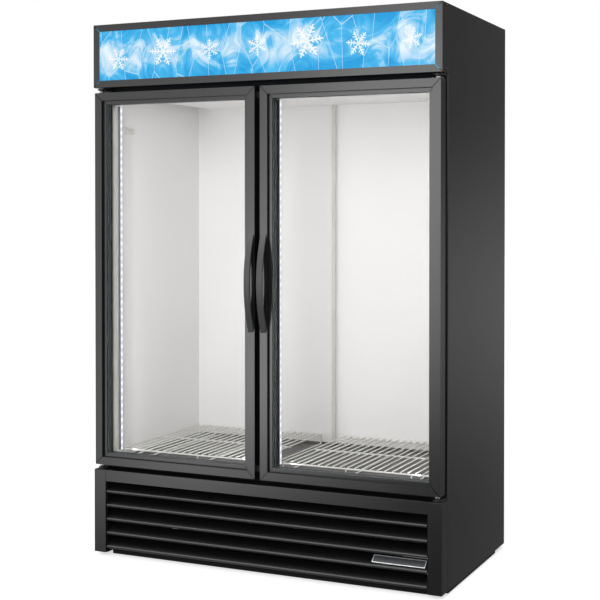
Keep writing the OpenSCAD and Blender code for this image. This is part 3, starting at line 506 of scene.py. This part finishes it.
def make_finishes(paint, sign, lamps):
    """One material for each finish of the record, by the name of its slot."""
    return {
        "powder_coat_black": painted("satin_powder_coat", paint.coat, paint.coat_roughness),
        "painted_back_steel": painted("satin_back_paint", linear("#232324"), 0.5, peel=3 * MM),
        # Darker than the coat: black enamel, with painted shade for the shadow between the blades.
        "louvre_black": painted("black_louvre_enamel_with_painted_shade", paint.louvre, 0.3, peel=3 * MM),
        "foam": moulded("rigid_foam", linear("#d8c68e"), 0.95, grain=3 * MM, depth=0.6 * MM),
        "white_liner": painted("white_wall_enamel", paint.liner, 0.45, peel=5 * MM, variation=0.03),
        # The floor is drawn far darker than bare stainless steel. This is painted shadow of stored goods, which
        # are not modelled.
        "stainless_floor": brushed(
            "brushed_stainless_darkened_as_shade", linear("#5c5757"), 0.34, grain=(60 * MM, 0.8 * MM, 0.8 * MM)
        ),
        "breaker_plastic": moulded("pale_breaker_plastic", linear("#d9d9d3"), 0.45),
        "black_plastic": moulded("black_abs", linear("#1c1c1d"), 0.38),
        "zinc_steel": zinc_plate("bright_zinc", linear("#b4b7b9")),
        "sign_acrylic": frost_print("lit_frost_film", sign, *span("sign_panel")),
        "lamp_diffuser": lit_cover("opal_strip_cover", lamps.glow, lamps.diode_pitch),
        "led_aluminium": brushed(
            "anodised_aluminium", linear("#c3c5c8"), 0.32, grain=(1.2 * MM, 1.2 * MM, 80 * MM)
        ),
        "white_wire": painted("dipped_white_wire", linear("#f1f1ec"), 0.3, peel=6 * MM, variation=0.04),
        "motor_black": painted(
            "black_motor_enamel", linear("#1a1a1b"), 0.45, peel=1.8 * MM, depth=0.1 * MM
        ),
        "condenser_aluminium": brushed(
            "fin_aluminium", linear("#8a8d91"), 0.42, grain=(2 * MM, 2 * MM, 30 * MM)
        ),
        "drain_plastic": moulded("grey_white_pipe", linear("#d2d2cc"), 0.4),
        "copper": brushed("drawn_copper", linear("#b87333"), 0.28, grain=(2 * MM, 2 * MM, 2 * MM)),
        "clear_glass": pane_glass("clear_float_glass"),
        "spacer_slate": moulded("slate_spacer", paint.slate, 0.6, grain=2 * MM, depth=0.01 * MM),
        "gasket_black": moulded("black_vinyl", paint.gasket, 0.6, grain=2 * MM),
    }


# ---- Modelling tools ----

BODY_OF = {
    node: body for body, nodes in frame["record"]["behaviour"]["bodies"].items() for node in nodes
}


def slot_of(node):
    """Name of the record's material slot that a solid belongs to."""
    return next(part["material_slot"] for part in frame["record"]["subparts"] if part["node"] == node)


def pick(piece):
    """Leaves object mode, and makes one piece the only selected and the active one."""
    if bpy.context.object and bpy.context.object.mode != "OBJECT":
        bpy.ops.object.mode_set(mode="OBJECT")
    bpy.ops.object.select_all(action="DESELECT")
    if piece:
        piece.select_set(True)
        bpy.context.view_layer.objects.active = piece


def start(primitive, **settings):
    """Adds a primitive with nothing else selected, and returns it with its place in its mesh."""
    pick(None)
    primitive(**settings)
    piece = bpy.context.object
    settle(piece)
    return piece


def choose(piece, kind, test):
    """Enters edit mode with just those faces, edges or vertices selected that pass a test."""
    pick(piece)
    mesh = piece.data
    kinds = {"VERT": mesh.vertices, "EDGE": mesh.edges, "FACE": mesh.polygons}
    for elements in kinds.values():
        elements.foreach_set("select", [False] * len(elements))
    bpy.context.tool_settings.mesh_select_mode = [kind == each for each in kinds]
    for element in kinds[kind]:
        element.select = test(element)
    bpy.ops.object.mode_set(mode="EDIT")


def faces_towards(piece, direction):
    """Chooses the faces whose normals point one way."""
    aim = Vector(direction)
    choose(piece, "FACE", lambda face: face.normal.dot(aim) > 0.99)


def apply_modifier(piece, kind, **settings):
    """Changes a piece's mesh by a modifier."""
    pick(piece)
    modifier = piece.modifiers.new(kind.title(), kind)
    for name, value in settings.items():
        setattr(modifier, name, value)
    bpy.ops.object.modifier_apply(modifier=modifier.name)


def settle(piece):
    """Puts a piece's place into its mesh, so that its object is at the origin, unturned and unscaled."""
    pick(piece)
    bpy.ops.object.transform_apply(location=True, rotation=True, scale=True)


def smooth(piece, angle=35):
    """Shades a piece smooth where its faces meet at less than an angle."""
    pick(piece)
    bpy.ops.object.shade_smooth_by_angle(angle=math.radians(angle))


def flatten(piece):
    """Shades the flat faces flat and leaves the turn of the light to the rounded edges."""
    smooth(piece)
    apply_modifier(piece, "WEIGHTED_NORMAL", keep_sharp=True, weight=100)


def bevel_edges(piece, width, segments=2, angle=40):
    """Rounds the edges where faces meet at more than an angle."""
    apply_modifier(
        piece,
        "BEVEL",
        width=width,
        segments=segments,
        limit_method="ANGLE",
        angle_limit=math.radians(angle),
        use_clamp_overlap=True,
    )


def cut_away(piece, cutter):
    """Cuts one mesh out of another, and removes the cutter."""
    apply_modifier(piece, "BOOLEAN", object=cutter, operation="DIFFERENCE", solver="EXACT")
    bpy.data.objects.remove(cutter)


def copy_to(piece, matrix):
    """Copies a settled piece with a mesh of its own, placed by a matrix."""
    mesh = piece.data.copy()
    mesh.transform(matrix)
    made = bpy.data.objects.new("copy", mesh)
    bpy.context.collection.objects.link(made)
    return made


def join(pieces):
    """Joins settled pieces into one."""
    pick(pieces[0])
    for piece in pieces[1:]:
        piece.select_set(True)
    bpy.ops.object.join()
    return pieces[0]


def dress(piece, name, slot, material=None, body="cabinet", nodes=()):
    """Names and settles a finished piece, gives it its finish, and ties it to the body that carries it."""
    settle(piece)
    piece.name = name
    piece.data.name = name
    piece.data.materials.clear()
    piece.data.materials.append(material or finishes[slot])
    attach(piece, body)
    if nodes:
        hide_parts(*nodes)


def clean_copy(node):
    """A merged copy of a solid's loose triangles, with its flat faces whole again."""
    piece = bpy.data.objects.new("copy", frame["nodes"][node].data.copy())
    bpy.context.collection.objects.link(piece)
    pick(piece)
    bpy.ops.object.mode_set(mode="EDIT")
    bpy.ops.mesh.select_all(action="SELECT")
    bpy.ops.mesh.remove_doubles(threshold=0.01 * MM)
    bpy.ops.mesh.customdata_custom_splitnormals_clear()
    bpy.ops.mesh.dissolve_limited(angle_limit=math.radians(1))
    bpy.ops.object.mode_set(mode="OBJECT")
    return piece


def cut_mitres(piece, low, high, depth, gap=2.0 * MM, reach=60 * MM):
    """Cuts the mitre seams into the front of a frame: a slit across each corner, at 45 degrees.

    A real seam is about 0.3 mm wide, which is too fine to show, so it is cut wider.
    """
    slits = []
    corners = ((low.x, low.z, -45), (low.x, high.z, 45), (high.x, low.z, 45), (high.x, high.z, -45))
    for x, z, turn in corners:
        slit = start(
            bpy.ops.mesh.primitive_cube_add,
            size=1,
            scale=(2 * reach, 2 * depth, gap),
            rotation=(0, math.radians(turn), 0),
            location=(x, low.y, z),
        )
        slits.append(slit)
    cut_away(piece, join(slits))


def round_node(node, width, segments=2, material=None, mitre=0.0):
    """Replaces a solid by a copy whose edges are rounded as folded, sawn or moulded ones are."""
    piece = clean_copy(node)
    bevel_edges(piece, width, segments)
    if mitre:
        cut_mitres(piece, *span(node), mitre)
    flatten(piece)
    dress(piece, node + "_rounded", slot_of(node), material, BODY_OF[node], (node,))


finishes = {}


# ---- Pieces ----


class FREEZER_OT_finish_solids(bpy.types.Operator):
    """Give every solid of the frame its finish"""

    bl_idname = "freezer.finish_solids"
    bl_label = "Finish the Solids"

    def execute(self, context):
        scene = context.scene
        finishes.update(make_finishes(scene.freezer_paint, scene.freezer_sign, scene.freezer_lamps))
        # The face panels recessed under the header and the base frame at the floor get a darker, less glossy black
        # than the coat. This is painted shade for the shadow that falls on them.
        matt = painted("matt_black_painted_shade", linear("#111112"), 0.6, specular=0.12)
        own = {"face_panels": matt, "base_frame": matt, "hinge_brackets": finishes["motor_black"]}
        for name, solid in frame["nodes"].items():
            for slot in solid.material_slots:
                slot.material = own.get(name, finishes[slot_of(name)])
        return {"FINISHED"}


class FREEZER_OT_rounded_metal(bpy.types.Operator):
    """Round the folded and sawn edges of the sheet metal and the door profiles"""

    bl_idname = "freezer.rounded_metal"
    bl_label = "Round the Metal Edges"

    def execute(self, context):
        width = context.scene.freezer_paint.edge_width
        for name in ("side_panel_left", "side_panel_right", "header_shell", "corner_posts", "kick_band"):
            round_node(name, width)
        round_node("louvre_grille", 0.5 * MM)
        for name in ("header_frame", "left_door_frame", "right_door_frame"):
            round_node(name, width, mitre=3 * MM)
        for name in ("left_glazing_bead", "right_glazing_bead"):
            round_node(name, width, mitre=1.8 * MM)
        return {"FINISHED"}


class FREEZER_OT_handles(bpy.types.Operator):
    """Finish the two bow handles as moulded bars with softly rounded edges"""

    bl_idname = "freezer.handles"
    bl_label = "Handles"

    def execute(self, context):
        bar = brushed(
            "ribbed_black_abs",
            linear("#3a3a3b"),
            0.4,
            grain=(2.2 * MM, 2.2 * MM, 160 * MM),
            depth=0.12 * MM,
            metallic=0.0,
        )
        for side in ("left", "right"):
            round_node(side + "_handle", 1.6 * MM, segments=3, material=bar)
        return {"FINISHED"}


class FREEZER_OT_screws(bpy.types.Operator):
    """Add the cross-head screws of the header sides and the back panels"""

    bl_idname = "freezer.screws"
    bl_label = "Screws"

    radius = 4.2 * MM
    height = 2.0 * MM
    behind_front, below_top, above_bottom = 42 * MM, 10 * MM, 13 * MM
    columns, margin = 5, 16 * MM

    def head(self):
        """A pan head that stands on z = 0, with a cross cut in it."""
        piece = start(
            bpy.ops.mesh.primitive_cylinder_add,
            vertices=24,
            radius=self.radius,
            depth=self.height,
            location=(0, 0, self.height / 2),
        )
        points = piece.data.vertices
        choose(piece, "EDGE", lambda edge: all(points[v].co.z > 0.6 * self.height for v in edge.vertices))
        bpy.ops.mesh.bevel(offset=0.55 * self.height, segments=4, profile=0.6)
        bpy.ops.object.mode_set(mode="OBJECT")
        for turn in (0, 90):
            slot = start(
                bpy.ops.mesh.primitive_cube_add,
                size=1,
                scale=(1.25 * self.radius, 0.28 * self.radius, self.height),
                location=(0, 0, self.height),
                rotation=(0, 0, math.radians(turn)),
            )
            cut_away(piece, slot)
        smooth(piece)
        return piece

    def execute(self, context):
        master = self.head()
        low, high = span("header_shell")
        header = []
        for side in (-1, 1):
            for height in (high.z - self.below_top, low.z + self.above_bottom):
                place = Matrix.Translation((side * high.x, low.y + self.behind_front, height))
                header.append(copy_to(master, place @ Matrix.Rotation(side * math.pi / 2, 4, "Y")))
        dark = painted("blackened_screw", linear("#101011"), 0.35, peel=1.5 * MM)
        dress(join(header), "header_screws", "motor_black", dark)

        low, high = span("rear_cover")
        back = span("box_panels")[1]
        rear = []
        margin = self.margin
        heights = (low.z + margin, high.z - margin, high.z + margin, back.z - margin)
        reach = high.x - margin
        for column in range(self.columns):
            x = -reach + column * 2 * reach / (self.columns - 1)
            for height in heights:
                place = Matrix.Translation((x, back.y, height))
                rear.append(copy_to(master, place @ Matrix.Rotation(-math.pi / 2, 4, "X")))
        dress(join(rear), "rear_screws", "zinc_steel")
        bpy.data.objects.remove(master)
        return {"FINISHED"}


class FREEZER_OT_plate(bpy.types.Operator):
    """Add the bare plate that lies on a louvre at the lower right: a bright rim round a dark field"""

    bl_idname = "freezer.plate"
    bl_label = "Louvre Plate"

    left, right = 434 * MM, 626 * MM
    wide, thick = 31 * MM, 3.2 * MM
    rim, sunk = 2.4 * MM, 1.0 * MM
    slope = math.radians(40.3)
    behind_nose, above_lowest = 18.5 * MM, 94.4 * MM

    def slab(self, inset, thickness, corner):
        """A thin plate with rounded corners, standing on z = 0."""
        size = (self.right - self.left - 2 * inset, self.wide - 2 * inset, thickness)
        piece = start(bpy.ops.mesh.primitive_cube_add, size=1, scale=size, location=(0, 0, thickness / 2))
        choose(piece, "EDGE", lambda edge: abs(self.edge_way(piece, edge).z) > 0.9)
        bpy.ops.mesh.bevel(offset=corner, segments=4)
        bpy.ops.object.mode_set(mode="OBJECT")
        return piece

    @staticmethod
    def edge_way(piece, edge):
        """The direction of an edge."""
        first, second = (piece.data.vertices[v].co for v in edge.vertices)
        return (second - first).normalized()

    def execute(self, context):
        plate = self.slab(0.0, self.thick, 2.5 * MM)
        faces_towards(plate, (0, 0, 1))
        bpy.ops.mesh.inset(thickness=self.rim)
        bpy.ops.mesh.inset(thickness=0.4 * MM, depth=-self.sunk)
        bpy.ops.object.mode_set(mode="OBJECT")
        bevel_edges(plate, 0.35 * MM, angle=30)
        field = self.slab(self.rim + 0.5 * MM, 0.6 * MM, 1.2 * MM)
        field.data.transform(Matrix.Translation((0, 0, self.thick - self.sunk)))
        bevel_edges(field, 0.2 * MM, 1, angle=30)

        nose = span("louvre_grille")[0]
        middle_x = (self.left + self.right) / 2
        place = Matrix.Translation((middle_x, nose.y + self.behind_nose, nose.z + self.above_lowest))
        place = place @ Matrix.Rotation(self.slope, 4, "X")
        lines = (40 * MM, 1 * MM, 1 * MM)
        bright = brushed("rolled_aluminium_rim", linear("#dcdedf"), 0.45, grain=lines, metallic=0.6)
        dark = brushed("grey_anodised_field", linear("#4a4c4f"), 0.5, grain=lines, metallic=0.4)
        for piece, name, finish in ((plate, "plate_rim", bright), (field, "plate_field", dark)):
            smooth(piece)
            piece.data.transform(place)
            dress(piece, name, "zinc_steel", finish)
        return {"FINISHED"}


class FREEZER_OT_fan_guards(bpy.types.Operator):
    """Add a wire guard of rings and spokes in front of each evaporator fan"""

    bl_idname = "freezer.fan_guards"
    bl_label = "Fan Guards"

    wire = 1.4 * MM
    standoff = 7 * MM
    clearance = 2 * MM
    rings, hub = (1.0, 0.78, 0.56, 0.34), 0.3
    spokes = 6

    def guard(self, radius):
        """Rings round the Y axis on spokes whose ends turn back to the fan plate at y = 0."""
        made = []
        for part in self.rings:
            ring = start(
                bpy.ops.mesh.primitive_torus_add,
                major_radius=radius * part,
                minor_radius=self.wire,
                major_segments=40,
                minor_segments=6,
                rotation=(math.pi / 2, 0, 0),
                location=(0, -self.standoff, 0),
            )
            made.append(ring)
        inner, outer = radius * self.hub, radius + 2 * self.wire
        for turn in range(self.spokes):
            spoke = start(
                bpy.ops.mesh.primitive_cylinder_add,
                vertices=6,
                radius=self.wire,
                depth=outer - inner,
                location=(0, -self.standoff - self.wire, (outer + inner) / 2),
            )
            leg = start(
                bpy.ops.mesh.primitive_cylinder_add,
                vertices=6,
                radius=self.wire,
                depth=self.standoff + self.wire,
                rotation=(math.pi / 2, 0, 0),
                location=(0, -(self.standoff + self.wire) / 2, outer),
            )
            for piece in (spoke, leg):
                piece.data.transform(Matrix.Rotation(turn * math.tau / self.spokes, 4, "Y"))
                made.append(piece)
        guard = join(made)
        smooth(guard, 60)
        return guard

    def execute(self, context):
        plate = span("evaporator_cover")[0].y
        low, high = span("evaporator_fan_left")
        master = self.guard((high.z - low.z) / 2 + self.clearance)
        for side in ("left", "right"):
            low, high = span("evaporator_fan_" + side)
            centre = (low + high) / 2
            guard = copy_to(master, Matrix.Translation((centre.x, plate, centre.z)))
            dress(guard, "fan_guard_" + side, "white_wire")
        bpy.data.objects.remove(master)
        return {"FINISHED"}


class FREEZER_OT_small_trim(bpy.types.Operator):
    """Add the hinge collars, the post seals, the sensor cover inside and the lip of the cord gland"""

    bl_idname = "freezer.small_trim"
    bl_label = "Small Trim"

    def collars(self):
        """A bright turned collar on each hinge pin, between its plate and the door."""
        low, high = span("hinge_brackets")
        door = span("left_door_frame")
        upstand, gap, radius = 35 * MM, 2 * MM, 9 * MM
        ends = ((low.z + upstand, door[0].z - gap), (door[1].z + gap, high.z - upstand))
        made = []
        for joint in [each for each in frame["joints"] if "door" in each["name"]]:
            for bottom, top in ends:
                piece = start(
                    bpy.ops.mesh.primitive_cylinder_add,
                    vertices=32,
                    radius=radius,
                    depth=top - bottom,
                    location=(*joint["pos_m"][:2], (bottom + top) / 2),
                )
                bevel_edges(piece, 0.8 * MM)
                made.append(piece)
        collars = join(made)
        smooth(collars)
        dress(collars, "hinge_collars", "zinc_steel")

    def seals(self):
        """A black bead of sealant down the joint between each corner post and its side panel."""
        low, high = span("corner_posts")
        wide, proud = 2 * MM, 0.5 * MM
        made = []
        for side in (-1, 1):
            piece = start(
                bpy.ops.mesh.primitive_cube_add,
                size=1,
                scale=(2 * proud, wide, high.z - low.z),
                location=(side * high.x, high.y, (low.z + high.z) / 2),
            )
            bevel_edges(piece, 0.4 * MM)
            made.append(piece)
        seals = join(made)
        smooth(seals)
        dress(seals, "post_seals", "gasket_black")

    def sensor(self):
        """A low moulded cover with a sunk face, on the left wall inside."""
        low, high = span("liner_walls")
        wall = low.x + 1 * MM
        long, tall, proud = 54 * MM, 22 * MM, 11 * MM
        behind_front, below_ceiling = 85 * MM, 332 * MM
        front = span("side_panel_left")[0].y
        piece = start(
            bpy.ops.mesh.primitive_cube_add,
            size=1,
            scale=(proud, long, tall),
            location=(wall + proud / 2, front + behind_front, high.z - below_ceiling),
        )
        faces_towards(piece, (1, 0, 0))
        bpy.ops.mesh.inset(thickness=3 * MM)
        bpy.ops.mesh.inset(thickness=1.2 * MM, depth=-1.5 * MM)
        bpy.ops.object.mode_set(mode="OBJECT")
        bevel_edges(piece, 1.4 * MM, 3, angle=30)
        flatten(piece)
        dress(piece, "sensor_cover", "drain_plastic")

    def gland(self):
        """A rubber lip and plug in the hole in the rear cover that a supply cord would go through."""
        low, high = span("rear_cover")
        radius = 12 * MM
        place = {
            "rotation": (math.pi / 2, 0, 0),
            "location": (-0.7 * high.x, high.y, (low.z + high.z) / 2),
        }
        lip = start(
            bpy.ops.mesh.primitive_torus_add,
            major_radius=radius,
            minor_radius=3 * MM,
            major_segments=40,
            minor_segments=10,
            **place,
        )
        plug = start(bpy.ops.mesh.primitive_cylinder_add, vertices=40, radius=radius, depth=2 * MM, **place)
        bevel_edges(plug, 0.6 * MM)
        join([lip, plug])
        smooth(lip, 60)
        dress(lip, "gland_lip", "gasket_black")

    def execute(self, context):
        self.collars()
        self.seals()
        self.sensor()
        self.gland()
        return {"FINISHED"}


# ---- Stage ----


def area_light(name, place, aim, size, power):
    """A rectangular lamp that shines along a direction."""
    data = bpy.data.lights.new(name, "AREA")
    data.shape = "RECTANGLE"
    data.size, data.size_y = size
    data.energy = power
    lamp = bpy.data.objects.new(name, data)
    bpy.context.collection.objects.link(lamp)
    lamp.location = place
    lamp.rotation_euler = Vector(aim).to_track_quat("-Z", "Y").to_euler()
    return lamp


class FREEZER_OT_strip_lights(bpy.types.Operator):
    """Light the storage space from its four light strips"""

    bl_idname = "freezer.strip_lights"
    bl_label = "Strip Lights"

    inset = 45 * MM
    width = 12 * MM
    standoff = 6 * MM
    backward = 0.8

    def execute(self, context):
        settings = context.scene.freezer_lamps
        low, high = span("led_lenses")
        mullion = span("centre_mullion")[1].x
        for side in (-1, 1):
            for name, x, way in (("outer", high.x - self.inset, -1), ("inner", mullion + self.inset, 1)):
                area_light(
                    "strip_" + name,
                    (side * x, high.y + self.standoff, (low.z + high.z) / 2),
                    (side * way, self.backward, 0),
                    (self.width, high.z - low.z),
                    settings.power,
                )
        return {"FINISHED"}


class FREEZER_OT_stage(bpy.types.Operator):
    """Set up the pale floor, the soft studio light and the camera"""

    bl_idname = "freezer.stage"
    bl_label = "Stage"

    key_place = Vector((0.7, -4.8, 2.2))
    key_size = (1.6, 2.6)
    eye_place = (2.0397, -4.4245, 1.3024)
    eye_turn = (math.radians(90 - 0.846), 0, math.radians(24.74))
    picture_rise = 0.118

    def floor(self, settings):
        """A pale matt floor that looks white from the camera, and that gloss doesn't mirror."""
        piece = start(bpy.ops.mesh.primitive_plane_add, size=settings.floor_size)
        piece.name = "studio_floor"
        material, tree = new_material("pale_floor")
        place = add_node(tree, "TexCoord").outputs["Object"]
        cloud = add_node(tree, "TexNoise", {"Vector": place, "Scale": per(900 * MM), "Detail": 3.0})
        tone = add_node(
            tree,
            "Mix",
            {"Factor": cloud, "A": shade(settings.floor, 0.99), "B": settings.floor},
            data_type="RGBA",
        )
        matt = add_node(tree, "BsdfDiffuse", {"Color": tone.outputs[2]})
        white = add_node(tree, "Emission", {"Color": (1, 1, 1, 1), "Strength": 0.6})
        seen = add_node(tree, "LightPath")
        dark = add_node(tree, "Emission", {"Strength": 0.0})
        share = add_node(tree, "MixShader", {0: seen.outputs["Is Camera Ray"], 1: dark, 2: white})
        both = add_node(tree, "AddShader", {0: matt, 1: share})
        close_material(tree, both)
        piece.data.materials.append(material)
        piece.visible_glossy = False

    def room(self, tree, place, settings):
        """Brightness of the studio that the gloss mirrors, by direction.

        A slanted soft window stands ahead to the left of a plain bright wall, and a broad card hangs
        overhead. Ahead, the room darkens towards the floor, sooner on the right, and above eye level. At
        the sides and behind it is dimmer, and a little brighter just below eye level.
        """
        window_slant, window_left, floor_slant, below_eye = 0.37, 0.37, 0.29, 0.07
        x, y, z = add_node(tree, "SeparateXYZ", {"Vector": place}).outputs
        slant = add_node(tree, "Math", {0: z, 1: -window_slant, 2: window_left}, operation="MULTIPLY_ADD")
        aside = add_node(tree, "Math", {0: x, 1: slant}, operation="ADD")
        off_window = add_node(tree, "Math", {0: aside}, operation="ABSOLUTE")
        lean = add_node(tree, "Math", {0: x, 1: -floor_slant, 2: z}, operation="MULTIPLY_ADD")
        raised = add_node(tree, "Math", {0: z, 1: below_eye}, operation="ADD")
        off_level = add_node(tree, "Math", {0: raised}, operation="ABSOLUTE")
        bright = settings.window + settings.walls
        front, near_floor, near_top, level, over = [
            add_node(
                tree,
                "MapRange",
                {"Value": value, "From Min": first, "From Max": last, "To Min": low, "To Max": high},
                interpolation_type="SMOOTHSTEP",
            )
            for value, first, last, low, high in (
                (off_window, 0.068, 0.084, bright, settings.walls),
                (lean, -0.118, -0.018, 0.0, 1.0),
                (z, 0.09, 0.2, 1.0, 0.45),
                (off_level, 0.0, 0.16, settings.far_wall, 0.0),
                (z, 0.3, 0.75, 0.0, settings.overhead),
            )
        ]
        edges = add_node(tree, "Math", {0: near_top, 1: near_floor}, operation="MULTIPLY")
        front_wall = add_node(tree, "Math", {0: front, 1: edges}, operation="MULTIPLY")

        way = add_node(tree, "Math", {0: x, 1: y}, operation="ARCTAN2")
        from_back = add_node(tree, "Math", {0: way}, operation="ABSOLUTE")
        turned = add_node(tree, "MapRange", {"Value": from_back, "From Max": math.pi})
        walls = add_node(tree, "ValToRGB", {"Fac": turned})
        # The ramp runs from straight behind to straight ahead.
        stops = walls.color_ramp.elements
        stops[0].color = (0.5, 0.5, 0.5, 1)
        stops[1].color = (0.8, 0.8, 0.8, 1)
        for position, grey in ((0.075, 0.16), (0.1, 0.11), (0.2, 0.12), (0.4, 0.9)):
            stops.new(position).color = (grey, grey, grey, 1)
        behind = add_node(tree, "Math", {0: walls, 1: level}, operation="ADD")

        ahead = add_node(tree, "MapRange", {"Value": y, "From Min": -0.3, "From Max": -0.6})
        round_room = add_node(
            tree,
            "Mix",
            {"Factor": ahead, "A": behind, "B": front_wall},
            data_type="FLOAT",
        )
        whole = add_node(tree, "Math", {0: round_room, 1: over}, operation="ADD")
        return whole

    def world(self, settings):
        """White to the camera and through glass, a room to what gloss mirrors, and even light otherwise."""
        world = bpy.data.worlds.new("plain_studio")
        bpy.context.scene.world = world
        world.use_nodes = True
        tree = world.node_tree
        tree.nodes.clear()
        place = add_node(tree, "TexCoord").outputs["Generated"]
        light, card, white = [
            add_node(tree, "Background", {"Color": (1, 1, 1, 1), "Strength": level})
            for level in (settings.daylight, self.room(tree, place, settings), 1.0)
        ]
        seen = add_node(tree, "LightPath")
        glossy = add_node(tree, "MixShader", {0: seen.outputs["Is Glossy Ray"], 1: light, 2: card})
        clear = add_node(
            tree,
            "Math",
            {0: seen.outputs["Is Camera Ray"], 1: seen.outputs["Is Transmission Ray"]},
            operation="MAXIMUM",
        )
        final = add_node(tree, "MixShader", {0: clear, 1: glossy, 2: white})
        add_node(tree, "OutputWorld", {"Surface": final})

    def camera(self, settings):
        """The photo's viewpoint: nearly level, with the picture shifted down."""
        data = bpy.data.cameras.new("photo_camera")
        data.sensor_width = 36
        data.lens = settings.lens
        data.shift_y = -self.picture_rise
        data.clip_end = 200
        eye = bpy.data.objects.new("photo_camera", data)
        bpy.context.collection.objects.link(eye)
        eye.location = self.eye_place
        eye.rotation_euler = self.eye_turn
        bpy.context.scene.camera = eye

    def execute(self, context):
        settings = context.scene.freezer_stage
        self.floor(settings)
        self.world(settings)
        low, high = cad_box
        aim = (low + high) / 2 - self.key_place
        key = area_light("key_window", self.key_place, aim, self.key_size, settings.key_power)
        key.visible_glossy = False
        self.camera(settings)
        context.scene.view_settings.view_transform = "Standard"
        # Light has six faces of glass to pass on its way in, and six on its way out.
        context.scene.cycles.transparent_max_bounces = 24
        return {"FINISHED"}


# ---- Panel and registration ----

STEPS = (
    FREEZER_OT_finish_solids,
    FREEZER_OT_rounded_metal,
    FREEZER_OT_handles,
    FREEZER_OT_screws,
    FREEZER_OT_plate,
    FREEZER_OT_fan_guards,
    FREEZER_OT_small_trim,
    FREEZER_OT_strip_lights,
    FREEZER_OT_stage,
)
GROUPS = {
    "freezer_paint": FreezerPaint,
    "freezer_sign": FreezerSign,
    "freezer_lamps": FreezerLamps,
    "freezer_stage": FreezerStage,
}


class FREEZER_PT_panel(bpy.types.Panel):
    """Settings and steps of the freezer's looks"""

    bl_idname = "FREEZER_PT_panel"
    bl_label = "Freezer Looks"
    bl_space_type = "VIEW_3D"
    bl_region_type = "UI"
    bl_category = "Freezer"

    def draw(self, context):
        for group, kind in GROUPS.items():
            box = self.layout.box()
            box.label(text=kind.__doc__)
            for name in kind.__annotations__:
                box.prop(getattr(context.scene, group), name)
        for step in STEPS:
            self.layout.operator(step.bl_idname)


def register():
    for kind in (*GROUPS.values(), *STEPS, FREEZER_PT_panel):
        bpy.utils.register_class(kind)
    for name, kind in GROUPS.items():
        setattr(bpy.types.Scene, name, PointerProperty(type=kind))


def unregister():
    for name in GROUPS:
        delattr(bpy.types.Scene, name)
    for kind in reversed((*GROUPS.values(), *STEPS, FREEZER_PT_panel)):
        bpy.utils.unregister_class(kind)


def main():
    """Makes every piece in order."""
    register()
    for step in STEPS:
        group, name = step.bl_idname.split(".")
        getattr(getattr(bpy.ops, group), name)()


if __name__ == "__main__":
    main()
